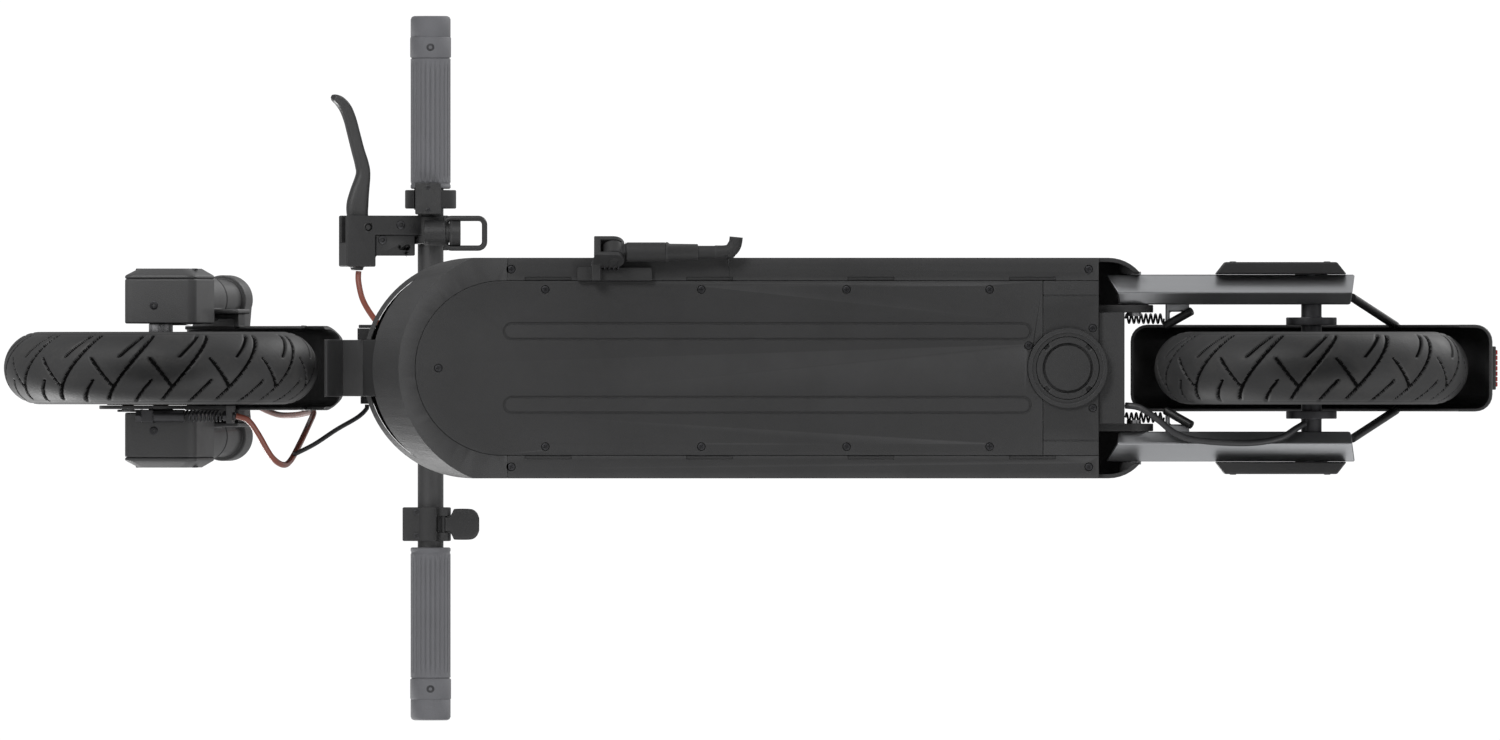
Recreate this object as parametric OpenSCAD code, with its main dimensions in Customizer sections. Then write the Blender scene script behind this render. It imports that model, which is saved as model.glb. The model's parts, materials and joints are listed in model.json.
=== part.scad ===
// Electric kick scooter with a folding stem, a telescopic fork with a drum
// brake, a battery deck and a swinging rear arm with a hub motor.
// +X points forwards, +Y to the rider's left, +Z up, and the ground is z = 0.

/* [Overall] */
// Distance between the two wheel axles
wheelbase = 953; // [780:1:1150]
// Overall width across the grips
bar_width = 605; // [500:1:730]
// Height of the handlebar's centre above the ground
bar_height = 1180; // [980:1:1420]
// Backward lean of the steering axis, in degrees
head_angle = 11.5; // [10:0.5:12.5]

/* [Wheels] */
// Outer radius of both tyres
wheel_r = 130; // [124:1:134]
// Width of both tyres
tyre_w = 60; // [50:1:61]
// Radius of the rim where the tyre sits
rim_r = 82; // [78:1:88]
// Radius of the front axle
front_axle_r = 6; // [5:0.5:7]
// Radius of the rear motor's axle
rear_axle_r = 8.5; // [7:0.5:10]

/* [Deck] */
// Width of the deck
deck_w = 182.6; // [176:0.2:220]
// Height of the deck's underside above the ground
deck_floor = 100; // [92:1:108]
// Height of the deck from its underside to its top plate
deck_h = 66; // [62:1:80]
// Thickness of the deck's walls
deck_wall = 3.5; // [2.5:0.5:4]
// Width of the battery cover between the side rails
cover_w = 144.4; // [120:0.2:150]
// Width of the neck that joins the deck to the head tube
neck_w = 47; // [40:1:56]

/* [Fork] */
// Distance from the middle to the centre of each fork leg
leg_y = 57; // [55:1:60]
// Radius of the fork's inner legs
stanchion_r = 17; // [15:0.5:18]
// Radius of the fork's lower legs
lower_r = 20.7; // [19.5:0.1:22]
// Outer radius of the front mudguard
front_guard_r = 151; // [148:1:153]

/* [Stem and bar] */
// Radius of the stem tube
stem_r = 19; // [17:0.5:21]
// Radius of the handlebar tube
bar_r = 11.1; // [9.5:0.1:12.5]
// Length of each grip
grip_l = 148.5; // [124:0.5:150]
// Radius of each grip
grip_r = 17.2; // [14.5:0.1:20]
// Downward tilt of the brake lever, in degrees
lever_tilt = 20; // [0:1:35]

/* [Rear arm] */
// Distance from the rear axle to the arm's pivot
arm_l = 147; // [140:1:150]
// Distance from the middle to the inner face of each arm
arm_in = 52.6; // [51:0.2:56]
// Width of each arm
arm_w = 24.8; // [20:0.2:26]
// Outer radius of the rear mudguard
rear_guard_r = 150; // [146:1:153]

/* [Fits] */
// Radial clearance of every bearing and hinge pin
run_fit = 0.05; // [0.02:0.01:0.1]
// Gap between parts that lie beside each other
part_gap = 0.3; // [0.2:0.05:0.5]

/* [Hidden] */
$fn = 64;

// Colours
charcoal = "#3b3b3d";
black = "#242426";
silver = "#b9babd";
grip_grey = "#737478";
red_cable = "#8a4032";

// Places along the length
guard_tail = rear_guard_r + 3;
front_axle_x = (wheelbase + guard_tail - wheel_r) / 2;
rear_axle_x = front_axle_x - wheelbase;
nose_tip = front_axle_x - 167;
deck_rear = rear_axle_x + 176.4;
pivot_x = rear_axle_x + arm_l;
deck_top = deck_floor + deck_h;
deck_half = deck_w / 2;
nose_x = nose_tip - deck_half;
nose_seam = nose_tip - 120;

// Battery cover and its screws
cover_half = cover_w / 2;
cover_t = 4;
cover_tip = nose_tip - 44;
cover_nose_x = cover_tip - cover_half;
panel_x = deck_rear + 46.3;
boss_x = deck_rear + 25.6;
boss_r = 33;
boss_in = 26.3;
ledge_t = 4;
ledge_w = 12.5;
screw_r = 1.5;
screw_first = deck_rear + 90.3;
screw_last = nose_seam - 31.7;
screw_steps = [0, 0.322, 0.649, 1];
cover_spots = [for (s = screw_steps, side = [-1, 1])
    [screw_first + s * (screw_last - screw_first), side * (cover_half - 7.2)]];
single_spots = [[cover_tip - 19.1, 0], [boss_x + 32.4, 18.6]];
panel_spots = [[deck_rear + 5, 33], [deck_rear + 5, -33]];
corner_y = (cover_half + deck_half) / 2;
corner_spots = [for (x = [nose_seam - 3.5, deck_rear + 8.3], side = [-1, 1])
    [x, side * corner_y]];

// Steering frame: u forwards, w up along the steering axis, from the axle
crown_low = 200;
crown_high = 228;
head_low = 240;
head_high = 340;
head_r = 23.5;
steerer_r = 15;
bearing_r = 20;
bearing_h = 10;
leg_u = -8;
fold_u = -28;
fold_w = 372;
base_top = 362;
bar_w_pos = (bar_height - wheel_r) / cos(head_angle);
bar_x = front_axle_x - bar_w_pos * sin(head_angle);

// Pods round the front axle's ends
pod_in = 36.8;
pod_out = 73.8;
cap_out = 82.4;

// Drum brake
drum_r = 52;
drum_in = 46;
plate_y = -31;
plate_t = 3;
cam_u = 30;
cam_w = 10;
cam_angle = atan2(cam_w, cam_u);
anchor_r = 39.5;
link_w = -48;
link_y = -39.6;
barrel_end = -31;
adjuster_u = -67;

// Handlebar controls
lever_pivot = [60.7, 121];
bell_x = -13;
bell_z = -28;
bell_y = 116;
throttle_y = -134;
throttle_x = -12;
throttle_z = -20;

// Rear end
arm_out = arm_in + arm_w;
arm_z = wheel_r;
plate_rear = deck_rear - 21.4;
lug_out = arm_in - part_gap;
lug_in = lug_out - 6.3;
pivot_r = 6;
spring_y = 41;
spring_z = arm_z + 20;

// Kickstand pivot, its outward splay and its leg
stand_x = nose_tip - 208;
stand_y = deck_half + 4.7;
stand_z = deck_floor - 9;
stand_splay = 38;

// Routes of the cables, drawn with the axles at these two places
route_front_x = 488;
route_rear_x = -465;
upper_brake_route = [[336, 83, 1158], [336, 74, 1156], [332, 58, 1148],
    [322, 42, 1133], [311, 30, 1114], [304, 22.5, 1098], [299, 20.5, 1085]];
lower_brake_route = [[416, -29.2, 472], [408, -34, 445], [394, -39, 400],
    [379, -39, 350], [368, -37, 300], [363, -37, 250], [366, -46, 208],
    [374, -64, 165], [381, -77, 135], [387, -80, 112], [396, -73, 92],
    [407, -54, 76], [415, -43, 68.5], [424.6, -39.6, 68]];
harness_route = [[318, -30.4, 208], [318.6, -34, 207.2], [326, -41, 198],
    [343, -51, 178], [361, -63, 157], [377.5, -71.5, 139]];
motor_route = [[-311, -31, 112], [-323, -33, 108], [-338, -43, 105],
    [-352, -54, 105], [-372, -60, 105], [-412, -62, 105], [-438, -58, 106],
    [-452, -50, 111], [-459, -46, 116.5]];

// Points between p and q on a cubic curve with handles a and b
function cubic(p, a, b, q, n) = [for (i = [0:n]) let (t = i / n, s = 1 - t)
    s * s * s * p + 3 * s * s * t * a + 3 * s * t * t * b + t * t * t * q];

// A smooth line through all the points, with n steps between each pair
function smooth_step(a, b, c, d, t) = 0.5 * (2 * b + t * (c - a)
    + t * t * (2 * a - 5 * b + 4 * c - d) + t * t * t * (3 * b - a - 3 * c + d));
function smooth_line(p, n) = concat([for (i = [0:len(p) - 2], k = [0:n - 1])
    smooth_step(p[max(i - 1, 0)], p[i], p[i + 1], p[min(i + 2, len(p) - 1)], k / n)],
    [p[len(p) - 1]]);
function unit(v) = v / norm(v);
function headings(p) = [for (i = [0:len(p) - 1])
    unit(p[min(i + 1, len(p) - 1)] - p[max(i - 1, 0)])];
function square_to(n, t) = unit(n - (n * t) * t);
function side_vectors(t, start) = [for (i = 0, n = square_to(start, t[0]); i < len(t);
    i = i + 1, n = i < len(t) ? square_to(n, t[i]) : n) n];

// A round tube of radius r swept along the points
module tube(points, r, sides, start) {
    t = headings(points);
    n = side_vectors(t, start);
    last = len(points) - 1;
    rings = [for (i = [0:last], k = [0:sides - 1]) let (a = 360 * k / sides)
        points[i] + r * (cos(a) * n[i] + sin(a) * cross(t[i], n[i]))];
    walls = [for (i = [0:last - 1], k = [0:sides - 1]) let (a = i * sides + k,
        b = i * sides + (k + 1) % sides) each
        [[a, a + sides, b + sides], [a, b + sides, b]]];
    ends = [[for (k = [0:sides - 1]) k],
        [for (k = [sides - 1:-1:0]) last * sides + k]];
    polyhedron(rings, concat(walls, ends));
}

// A coil spring round the Z axis, from z = 0 to z = length
module coil(r, wire, turns, length) {
    steps = 10;
    rise = (length - 2 * wire) / (turns * steps);
    tube([for (i = [0:turns * steps]) let (a = 360 * i / steps)
        [r * cos(a), r * sin(a), wire + rise * i]], wire, 6, [0, 0, 1]);
}

module both_sides() {
    children();
    mirror([0, 1, 0]) children();
}

// Places a child in the steering frame
module steered() {
    translate([front_axle_x, 0, wheel_r]) rotate([0, -head_angle, 0]) children();
}

// Places a child at the handlebar's centre, in the steering frame
module at_bar() {
    translate([bar_x, 0, bar_height]) rotate([0, -head_angle, 0]) children();
}

// Places a child at the handlebar's centre, level with the ground
module bar_level() {
    translate([bar_x, 0, bar_height]) children();
}

module rod_y(r, y0, y1, x = 0, z = 0) {
    translate([x, y0, z]) rotate([-90, 0, 0]) cylinder(r = r, h = y1 - y0);
}

module rod_x(r, x0, x1, y = 0, z = 0) {
    translate([x0, y, z]) rotate([0, 90, 0]) cylinder(r = r, h = x1 - x0);
}

// A straight rod between two points
module rod_between(p, q, r) {
    d = q - p;
    translate(p) rotate([0, acos(d.z / norm(d)), atan2(d.y, d.x)])
        cylinder(r = r, h = norm(d));
}

module box(low, high) {
    translate(low) cube(high - low);
}

// An outline in X and Z, extruded from y0 to y1
module side_plate(y0, y1) {
    translate([0, y1, 0]) rotate([90, 0, 0]) linear_extrude(y1 - y0) children();
}

// A rectangle with round corners, from corner p to corner q
module round_rect(p, q, r) {
    translate(p + [r, 0]) square(q - p - [2 * r, 0]);
    translate(p + [0, r]) square(q - p - [0, 2 * r]);
    for (x = [p.x + r, q.x - r], y = [p.y + r, q.y - r])
        translate([x, y]) circle(r);
}

// A profile of radius and height turned round the Y axis
module turned() {
    rotate([90, 0, 0]) rotate_extrude($fn = 96) children();
}

module turned_arc(a0, a1) {
    rotate([90, 0, 0]) rotate([0, 0, a0])
        rotate_extrude(angle = a1 - a0, $fn = 96) children();
}

// ---------- Deck ----------

// Plan of the deck from x0 forwards, drawn in by inset
module deck_plan(x0, inset) {
    half = deck_half - inset;
    translate([x0, -half]) square([nose_x - x0, 2 * half]);
    intersection() {
        translate([nose_x, 0]) circle(half, $fn = 96);
        translate([nose_x, -half]) square([half, 2 * half]);
    }
}

// Plan of the battery cover from x0 forwards, drawn in by inset
module cover_plan(x0, inset) {
    half = cover_half - inset;
    translate([x0, -half]) square([cover_nose_x - x0, 2 * half]);
    intersection() {
        translate([cover_nose_x, 0]) circle(half, $fn = 96);
        translate([cover_nose_x, -half]) square([half, 2 * half]);
    }
}

// Side outline of the neck, drawn in by inset
module neck_outline(inset) {
    low = cubic([nose_tip - inset, deck_floor + 40], [nose_tip - 4 - inset, 260 + inset],
        [nose_tip + 21 - inset, 350 + inset], [nose_tip + 98 - inset, 370 + inset], 16);
    high = cubic([nose_tip + 80 + inset, 452 - inset], [nose_tip - 25 + inset, 370 - inset],
        [nose_tip - 31 + inset, deck_top - inset], [nose_tip - 99 + inset, deck_top - inset], 16);
    polygon(concat(low, high, [[nose_tip - 99 + inset, deck_floor + 30],
        [nose_tip - 12 - inset, deck_floor + 30]]));
}

module screw_holes(spots, r, z0, z1) {
    for (p = spots)
        translate([p.x, p.y, z0]) cylinder(r = r, h = z1 - z0, $fn = 24);
}

// Plan of the deck's rear corners, which run on beside the arms
module rear_wing_plan(inset) {
    corner = 34 - inset;
    wing_x = deck_rear - 8;
    intersection() {
        union() {
            translate([wing_x, 0]) square([20, deck_half - inset]);
            translate([wing_x, deck_half - 34]) circle(corner);
            translate([wing_x - corner, 0]) square([corner, deck_half - 34]);
        }
        translate([wing_x - 40, arm_in - 1]) square([60, deck_half]);
    }
}

module frame() {
    color(charcoal) difference() {
        union() {
            // Side walls, rails and top plate
            translate([0, 0, deck_floor]) linear_extrude(deck_h) difference() {
                translate([deck_rear, -deck_half]) square([nose_seam - deck_rear, deck_w]);
                translate([deck_rear - 1, deck_wall - deck_half])
                    square([nose_seam - deck_rear + 2, deck_w - 2 * deck_wall]);
            }
            translate([0, 0, deck_top - 4]) linear_extrude(4) {
                deck_plan(deck_rear, deck_wall + part_gap);
                translate([deck_rear, -deck_half]) square([nose_seam - deck_rear, deck_w]);
                both_sides() rear_wing_plan(0);
            }
            // Lower flanges with the ledge that the battery cover seats on
            both_sides() {
                box([deck_rear, cover_half + part_gap, deck_floor],
                    [nose_seam, deck_half, deck_floor + cover_t]);
                box([deck_rear, cover_half - ledge_w, deck_floor + cover_t],
                    [nose_seam, deck_half, deck_floor + cover_t + ledge_t]);
            }
            // Rear wall
            box([deck_rear, -deck_half, deck_floor + cover_t],
                [deck_rear + 4, deck_half, deck_top]);
            // Rear wings and the bosses that carry the arm's pivot bolts
            both_sides() {
                translate([0, 0, deck_floor + 6]) linear_extrude(deck_h - 6)
                    intersection() {
                        difference() {
                            rear_wing_plan(0);
                            rear_wing_plan(deck_wall);
                        }
                        translate([deck_rear - 60, arm_out + 2]) square([64, deck_half]);
                    }
                intersection() {
                    rod_y(12, arm_out + part_gap + 0.3, deck_half - deck_wall, pivot_x, arm_z);
                    translate([0, 0, deck_floor]) linear_extrude(deck_h) rear_wing_plan(0.5);
                }
            }
            // Neck and head tube
            side_plate(-neck_w / 2, neck_w / 2) neck_outline(0);
            steered() translate([0, 0, head_low])
                cylinder(r = head_r, h = head_high - head_low);
        }
        // Hollow of the neck, open into the deck
        side_plate(4 - neck_w / 2, neck_w / 2 - 4) neck_outline(5);
        box([nose_tip - 96, 4 - neck_w / 2, deck_floor + 20],
            [nose_tip - 30, neck_w / 2 - 4, deck_top - 5]);
        // Bore of the head tube with a seat at each end for a bearing
        steered() {
            translate([0, 0, head_low - 1]) cylinder(r = bearing_r - 3, h = 102);
            for (w = [head_low - 1, head_high - bearing_h])
                translate([0, 0, w]) cylinder(r = bearing_r, h = bearing_h + 1);
        }
        both_sides() rod_y(pivot_r, arm_out - 2, deck_half - 2, pivot_x, arm_z);
        // Screw holes and the shallow tabs along the seam
        screw_holes(cover_spots, screw_r + 0.1, deck_floor, deck_floor + 12);
        screw_holes(concat(corner_spots, panel_spots), screw_r + 0.1, deck_floor - 1, deck_floor + 12);
        screw_holes(corner_spots, 3.4, deck_floor - 1, deck_floor + 1.8);
        both_sides() for (x = [for (k = [0:3]) nose_seam - 14 - 39 - k * (nose_seam - deck_rear - 89) / 3])
            box([x, cover_half + part_gap - 1, deck_floor - 1],
                [x + 38, cover_half + 3, deck_floor + 0.8]);
        // Way out for the motor's cable
        rod_x(5, deck_rear - 1, deck_rear + 5, -31, deck_floor + 14);
    }
}

// Nose body between its bottom outline and its full outline, drawn in by inset
module nose_body(inset) {
    hull() {
        translate([0, 0, deck_floor + inset]) linear_extrude(0.01) intersection() {
            translate([nose_tip - 128.4, 0]) circle(98.4 - inset, $fn = 72);
            translate([nose_seam, inset - deck_half]) square([200, deck_w - 2 * inset]);
        }
        translate([0, 0, deck_floor + 40]) linear_extrude(deck_h - 40) intersection() {
            deck_plan(nose_seam, inset);
            translate([nose_seam, -deck_half]) square([200, deck_w]);
        }
    }
}

module nose_cover() {
    color(charcoal) difference() {
        nose_body(0);
        difference() {
            nose_body(deck_wall);
            // Ledge behind the battery cover's round end
            translate([0, 0, deck_floor]) linear_extrude(cover_t + ledge_t)
                difference() {
                    cover_plan(nose_seam, -6);
                    cover_plan(nose_seam - 1, ledge_w);
                }
        }
        translate([0, 0, deck_floor - 1]) linear_extrude(cover_t + 1)
            cover_plan(nose_seam - 1, -part_gap);
        translate([0, 0, deck_floor]) linear_extrude(20) cover_plan(nose_seam - 1, ledge_w);
        translate([0, 0, deck_floor + 30]) linear_extrude(deck_h)
            deck_plan(nose_seam - 1, deck_wall);
        // Slot for the neck
        box([nose_x, -neck_w / 2 - part_gap, deck_floor + 29],
            [nose_tip + 20, neck_w / 2 + part_gap, deck_top + 1]);
        screw_holes(single_spots, screw_r + 0.1, deck_floor, deck_floor + 12);
    }
}

module battery_cover() {
    groove_x = [deck_rear + 56, nose_seam + 3];
    color(charcoal) difference() {
        translate([0, 0, deck_floor]) linear_extrude(cover_t) difference() {
            cover_plan(panel_x, 0);
            translate([boss_x, 0]) circle(boss_r + part_gap);
        }
        both_sides() for (y = [24, 37]) {
            box([groove_x[0] + 7, y - 0.8, deck_floor - 1], [groove_x[1] - 7, y + 0.8, deck_floor + 0.8]);
        }
        both_sides() for (x = [groove_x[0] + 7, groove_x[1] - 7])
            translate([x, 30.5, deck_floor - 1]) difference() {
                cylinder(r = 7.3, h = 1.8);
                cylinder(r = 5.7, h = 1.8);
                translate([x < 0 ? 0 : -10, -10, -1]) cube([10, 20, 4]);
            }
        screw_holes(concat(cover_spots, single_spots), screw_r + 0.1, deck_floor - 1, deck_floor + 5);
        screw_holes(concat(cover_spots, single_spots), 3.4, deck_floor - 1, deck_floor + 1.8);
    }
}

module service_panel() {
    color(charcoal) {
        difference() {
            translate([0, 0, deck_floor]) linear_extrude(cover_t) union() {
                translate([deck_rear, -cover_half])
                    square([panel_x - part_gap - deck_rear, cover_w]);
                translate([boss_x, 0]) circle(boss_r);
            }
            translate([boss_x, 0, deck_floor - 1]) cylinder(r = boss_in, h = cover_t + 2);
            for (y = [-60, 60])
                box([deck_rear - 1, y - 0.5, deck_floor - 1], [panel_x, y + 0.5, deck_floor + 0.8]);
            screw_holes(panel_spots, screw_r + 0.1, deck_floor - 1, deck_floor + 5);
            screw_holes(panel_spots, 3.4, deck_floor - 1, deck_floor + 1.8);
        }
        translate([boss_x, 0, deck_floor - 2.5]) difference() {
            cylinder(r = boss_r, h = 2.5);
            translate([0, 0, -1]) cylinder(r = boss_in + 3.2, h = 2);
            translate([0, 0, -1]) cylinder(r = boss_in, h = 5);
        }
    }
}

module service_cap() {
    color(charcoal) translate([boss_x, 0, deck_floor - 1]) difference() {
        cylinder(r = boss_in - part_gap, h = 5);
        for (a = [45:90:315]) rotate([0, 0, a])
            translate([boss_in - 3.5, -2.5, -1]) cube([6, 5, 3]);
        translate([0, 0, -1]) difference() {
            cylinder(r = boss_in - 6, h = 1.8);
            cylinder(r = boss_in - 7, h = 1.8);
        }
    }
}

module deck_mat() {
    color(black) translate([0, 0, deck_top]) linear_extrude(2.2) difference() {
        deck_plan(deck_rear + 8, 7);
        translate([nose_tip - 101, -neck_w / 2 - 2]) square([120, neck_w + 4]);
    }
}

module deck_screws() {
    color(black) for (p = concat(cover_spots, single_spots, panel_spots, corner_spots))
        translate([p.x, p.y, deck_floor + 0.2]) {
            cylinder(r = 3.1, h = 1.6, $fn = 24);
            cylinder(r = screw_r, h = cover_t + ledge_t - 0.4, $fn = 24);
        }
}

module rear_plate() {
    color(charcoal) difference() {
        union() {
            box([plate_rear, -lug_in, deck_floor + cover_t + part_gap],
                [deck_rear, lug_in, deck_top - 4]);
            both_sides() {
                box([plate_rear + 8, lug_in, arm_z - 16], [deck_rear, lug_out, arm_z + 16]);
                side_plate(lug_in, lug_out) union() {
                    translate([pivot_x, arm_z]) circle(16);
                    translate([pivot_x, arm_z - 16]) square([deck_rear - pivot_x, 32]);
                }
            }
        }
        // Pockets in the rear face and the cable's way out
        for (y = [-22, 0, 22])
            box([plate_rear - 1, y - 9, deck_floor + 32], [plate_rear + 14, y + 9, deck_top - 10]);
        rod_x(5, plate_rear - 1, deck_rear + 1, -31, deck_floor + 14);
        both_sides() rod_y(pivot_r, lug_in - 1, lug_out + 1, pivot_x, arm_z);
    }
}

module pivot_bolts() {
    color(silver) both_sides()
        rod_y(pivot_r, lug_in - 3, arm_out + 2.5, pivot_x, arm_z);
}

// Charging socket on the neck's left side
port_x = nose_tip - 14;
port_z = 203;

module charge_port() {
    color(black) difference() {
        box([port_x, neck_w / 2, port_z], [port_x + 19, neck_w / 2 + 9.5, port_z + 22]);
        rod_y(6, neck_w / 2 + 2, neck_w / 2 + 10, port_x + 9.5, port_z + 11);
    }
    // Gland of the harness on the other side
    color(black) rod_y(5.5, -neck_w / 2 - 6.2, -neck_w / 2, port_x + 11, port_z + 5);
}

module charge_cap() {
    y0 = neck_w / 2 + 9.5 + part_gap;
    color(black) {
        box([port_x + 1, y0, port_z + 1], [port_x + 18, y0 + 2.7, port_z + 22]);
        rod_x(1.35, port_x + 1, port_x + 18, y0 + 1.35, port_z + 23);
    }
}

// ---------- Inside the deck ----------

cell_r = 10.5;
cell_pitch = 22;
cell_cols = 10;
cell_x0 = deck_rear + 130;
case_floor = deck_floor + cover_t + ledge_t + 0.4;
case_x1 = cell_x0 + cell_pitch * cell_cols + 3;

module battery_cells() {
    color("#3f7f6a") both_sides() for (i = [0:cell_cols - 1], k = [0:1])
        rod_y(cell_r, 0.4, cover_half - 8, cell_x0 + 2 + cell_pitch * (i + 0.5),
            case_floor + 2 + cell_r + 21.4 * k);
}

module battery_case() {
    low = [cell_x0, -cover_half + 6, case_floor];
    high = [case_x1 + 1, cover_half - 6, case_floor + 47];
    color("#2f4f8f") difference() {
        box(low, high);
        box(low + [1.5, 1.5, 1.5], high - [1.5, 1.5, 1.5]);
    }
}

module bms_board() {
    x0 = case_x1 + 1 + part_gap;
    color("#1f5f34") box([x0, -50, case_floor + 2], [x0 + 42, 50, case_floor + 3.6]);
    color(black) for (y = [-36:18:36])
        box([x0 + 12, y - 5, case_floor + 3.6], [x0 + 24, y + 5, case_floor + 6]);
}

module controller() {
    x0 = deck_rear + 12;
    color(silver) difference() {
        box([x0, -44, deck_floor + cover_t + part_gap], [x0 + 96, 44, deck_floor + 44]);
        for (y = [-36:12:36])
            box([x0 - 1, y - 3, deck_floor + 36], [x0 + 97, y + 3, deck_floor + 45]);
        screw_holes(single_spots, screw_r + 1, deck_floor, deck_floor + 12);
        screw_holes(panel_spots, screw_r + 1, deck_floor, deck_floor + 12);
    }
}

module headset_bearings() {
    color(silver) steered() for (w = [head_low, head_high - bearing_h])
        translate([0, 0, w]) difference() {
            cylinder(r = bearing_r, h = bearing_h);
            translate([0, 0, -1]) cylinder(r = steerer_r + run_fit, h = bearing_h + 2);
        }
}

// ---------- Kickstand ----------

module stand_frame() {
    translate([stand_x, stand_y, stand_z]) rotate([stand_splay, 0, 0]) children();
}

module kickstand_base() {
    color(charcoal) {
        box([stand_x - 32, deck_half - 19, deck_floor - 5],
            [stand_x + 30, deck_half - 8, deck_floor]);
        box([stand_x + 10.5, deck_half - 19, deck_floor - 12],
            [stand_x + 18, deck_half, deck_floor]);
        stand_frame() {
            for (y = [-10, 6.3]) difference() {
                side_plate(y, y + 3.7) union() {
                    circle(9);
                    translate([0, -9]) square([16, 18]);
                }
                rod_y(4, y - 1, y + 5);
            }
            box([10.5, -10, -9], [16, 10, 9]);
            rod_y(4, -10.5, 10.5);
        }
    }
}

module kickstand() {
    color(charcoal) {
        difference() {
            union() {
                stand_frame() {
                    rod_y(9, -6, 6);
                    box([-12, -5, -5], [0, 5, 5]);
                }
                translate([stand_x, stand_y, stand_z]) {
                    rod_x(8, -44, -10.5);
                    rod_x(5.2, -96, -43);
                    translate([-96, 0, 0]) sphere(5.7, $fn = 32);
                    rod_between([-96, 0, 0], [-102, 10, 0], 5);
                }
            }
            stand_frame() rod_y(4 + run_fit, -7, 7);
        }
    }
}

// ---------- Fork ----------

module fork_crown() {
    color(charcoal) steered() difference() {
        union() {
            translate([0, 0, crown_low]) linear_extrude(crown_high - crown_low) union() {
                for (y = [-leg_y, leg_y]) translate([leg_u, y]) circle(stanchion_r + 3.5);
                circle(26);
                polygon([[leg_u - 20, leg_y], [-24, 10], [-24, -10], [leg_u - 20, -leg_y],
                    [leg_u + 20, -leg_y], [24, -10], [24, 10], [leg_u + 20, leg_y]]);
            }
            for (y = [-leg_y, leg_y]) translate([leg_u, y, 66])
                cylinder(r = stanchion_r, h = crown_low - 60);
            translate([0, 0, crown_high - 1]) cylinder(r = 21, h = head_low - crown_high + 0.6);
            translate([0, 0, crown_low]) cylinder(r = steerer_r, h = 355 - crown_low);
        }
        for (y = [-leg_y, leg_y]) translate([leg_u, y, 60])
            cylinder(r = stanchion_r - 2.5, h = crown_low - 52);
        translate([0, 0, crown_low - 1]) cylinder(r = steerer_r - 3, h = 200);
    }
}

module hinge_base() {
    color(charcoal) steered() difference() {
        union() {
            translate([0, 0, head_high + 0.6]) cylinder(r = 26, h = base_top - head_high - 0.6);
            for (y = [-22, 14]) side_plate(y, y + 8) union() {
                translate([fold_u, fold_w]) circle(11);
                polygon([[fold_u - 11, fold_w], [fold_u - 6, 348], [-8, 348],
                    [-8, base_top], [-16.5, base_top], [fold_u + 11, fold_w]]);
            }
        }
        translate([0, 0, 330]) cylinder(r = steerer_r, h = 25.1);
        translate([0, 0, 330]) cylinder(r = steerer_r - 3, h = 40);
        rod_y(4, -23, 23, fold_u, fold_w);
    }
}

module hinge_pin() {
    color(silver) steered() rod_y(4, -23.5, 23.5, fold_u, fold_w);
}

module fork_lowers() {
    color(charcoal) steered() both_sides() difference() {
        union() {
            side_plate(pod_in, pod_out) round_rect([-37, -36], [24, 45], 8);
            translate([leg_u, leg_y, 30]) cylinder(r = lower_r, h = 95);
            // Tab that carries the mudguard
            box([-52, 45, 62], [-24, 49, 108]);
        }
        translate([leg_u, leg_y, 20]) cylinder(r = stanchion_r + 0.08, h = 110);
        rod_y(front_axle_r, pod_in - 1, pod_out + 1);
    }
}

module axle_caps() {
    color(charcoal) steered() both_sides() difference() {
        union() {
            side_plate(pod_out, pod_out + 3) round_rect([-37, -36], [24, 45], 8);
            hull() {
                side_plate(pod_out + 2.9, pod_out + 3) round_rect([-37, -36], [24, 45], 8);
                side_plate(cap_out - 0.1, cap_out) round_rect([-28, -27], [14, 36], 6);
            }
        }
        rod_y(13, pod_out - 1, pod_out + 6.4);
        translate([leg_u, leg_y, 30]) cylinder(r = lower_r + part_gap, h = 95);
    }
}

module front_axle() {
    color(silver) steered() {
        rod_y(front_axle_r, -pod_out - 6, pod_out + 6);
        rod_y(9, plate_y + part_gap, -2.3);
        rod_y(10, 29.6, pod_in);
        both_sides() translate([0, pod_out, 0]) rotate([-90, 0, 0]) cylinder(r = 10, h = 5.4, $fn = 6);
    }
}

// Quarter of a shoulder of radius c that ends at radius r and at half the width
function shoulder(r, half, c) = [for (a = [90:-15:0])
    [r - c + c * cos(a), half - c + c * sin(a)]];
function flipped(p) = [for (i = [len(p) - 1:-1:0]) [p[i].x, -p[i].y]];

// Section of a mudguard: round shoulders outside, with side skirts
module guard_section(r, half, skirt, wall, round_by) {
    outer = shoulder(r, half, round_by);
    inner = shoulder(r - wall, half - wall, round_by - wall);
    difference() {
        polygon(concat([[skirt, half]], outer, flipped(outer), [[skirt, -half]]));
        polygon(concat([[skirt - 1, half - wall]], inner, flipped(inner),
            [[skirt - 1, wall - half]]));
    }
}

module front_fender() {
    color(black) steered() {
        intersection() {
            turned_arc(86, 192) guard_section(front_guard_r, 35, front_guard_r - 15, 3, 9);
            translate([0, 0, -60]) linear_extrude(260) polygon([[30, 35.5], [-126, 35.5],
                [-146, 23.5], [-160, 23.5], [-160, -23.5], [-146, -23.5], [-126, -35.5],
                [30, -35.5]]);
        }
        both_sides() difference() {
            union() {
                box([-50, 41, 72], [-30, 45, 98]);
                polygon_web();
            }
            for (w = [78, 92]) rod_y(1.6, 40, 46, -44, w);
        }
    }
}

// Web from the mudguard's side out to its bolting ear
module polygon_web() {
    box([-50, 34, 72], [-46, 42, 98]);
    box([-104, 32.3, 75], [-46, 34.6, 93]);
}

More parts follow.
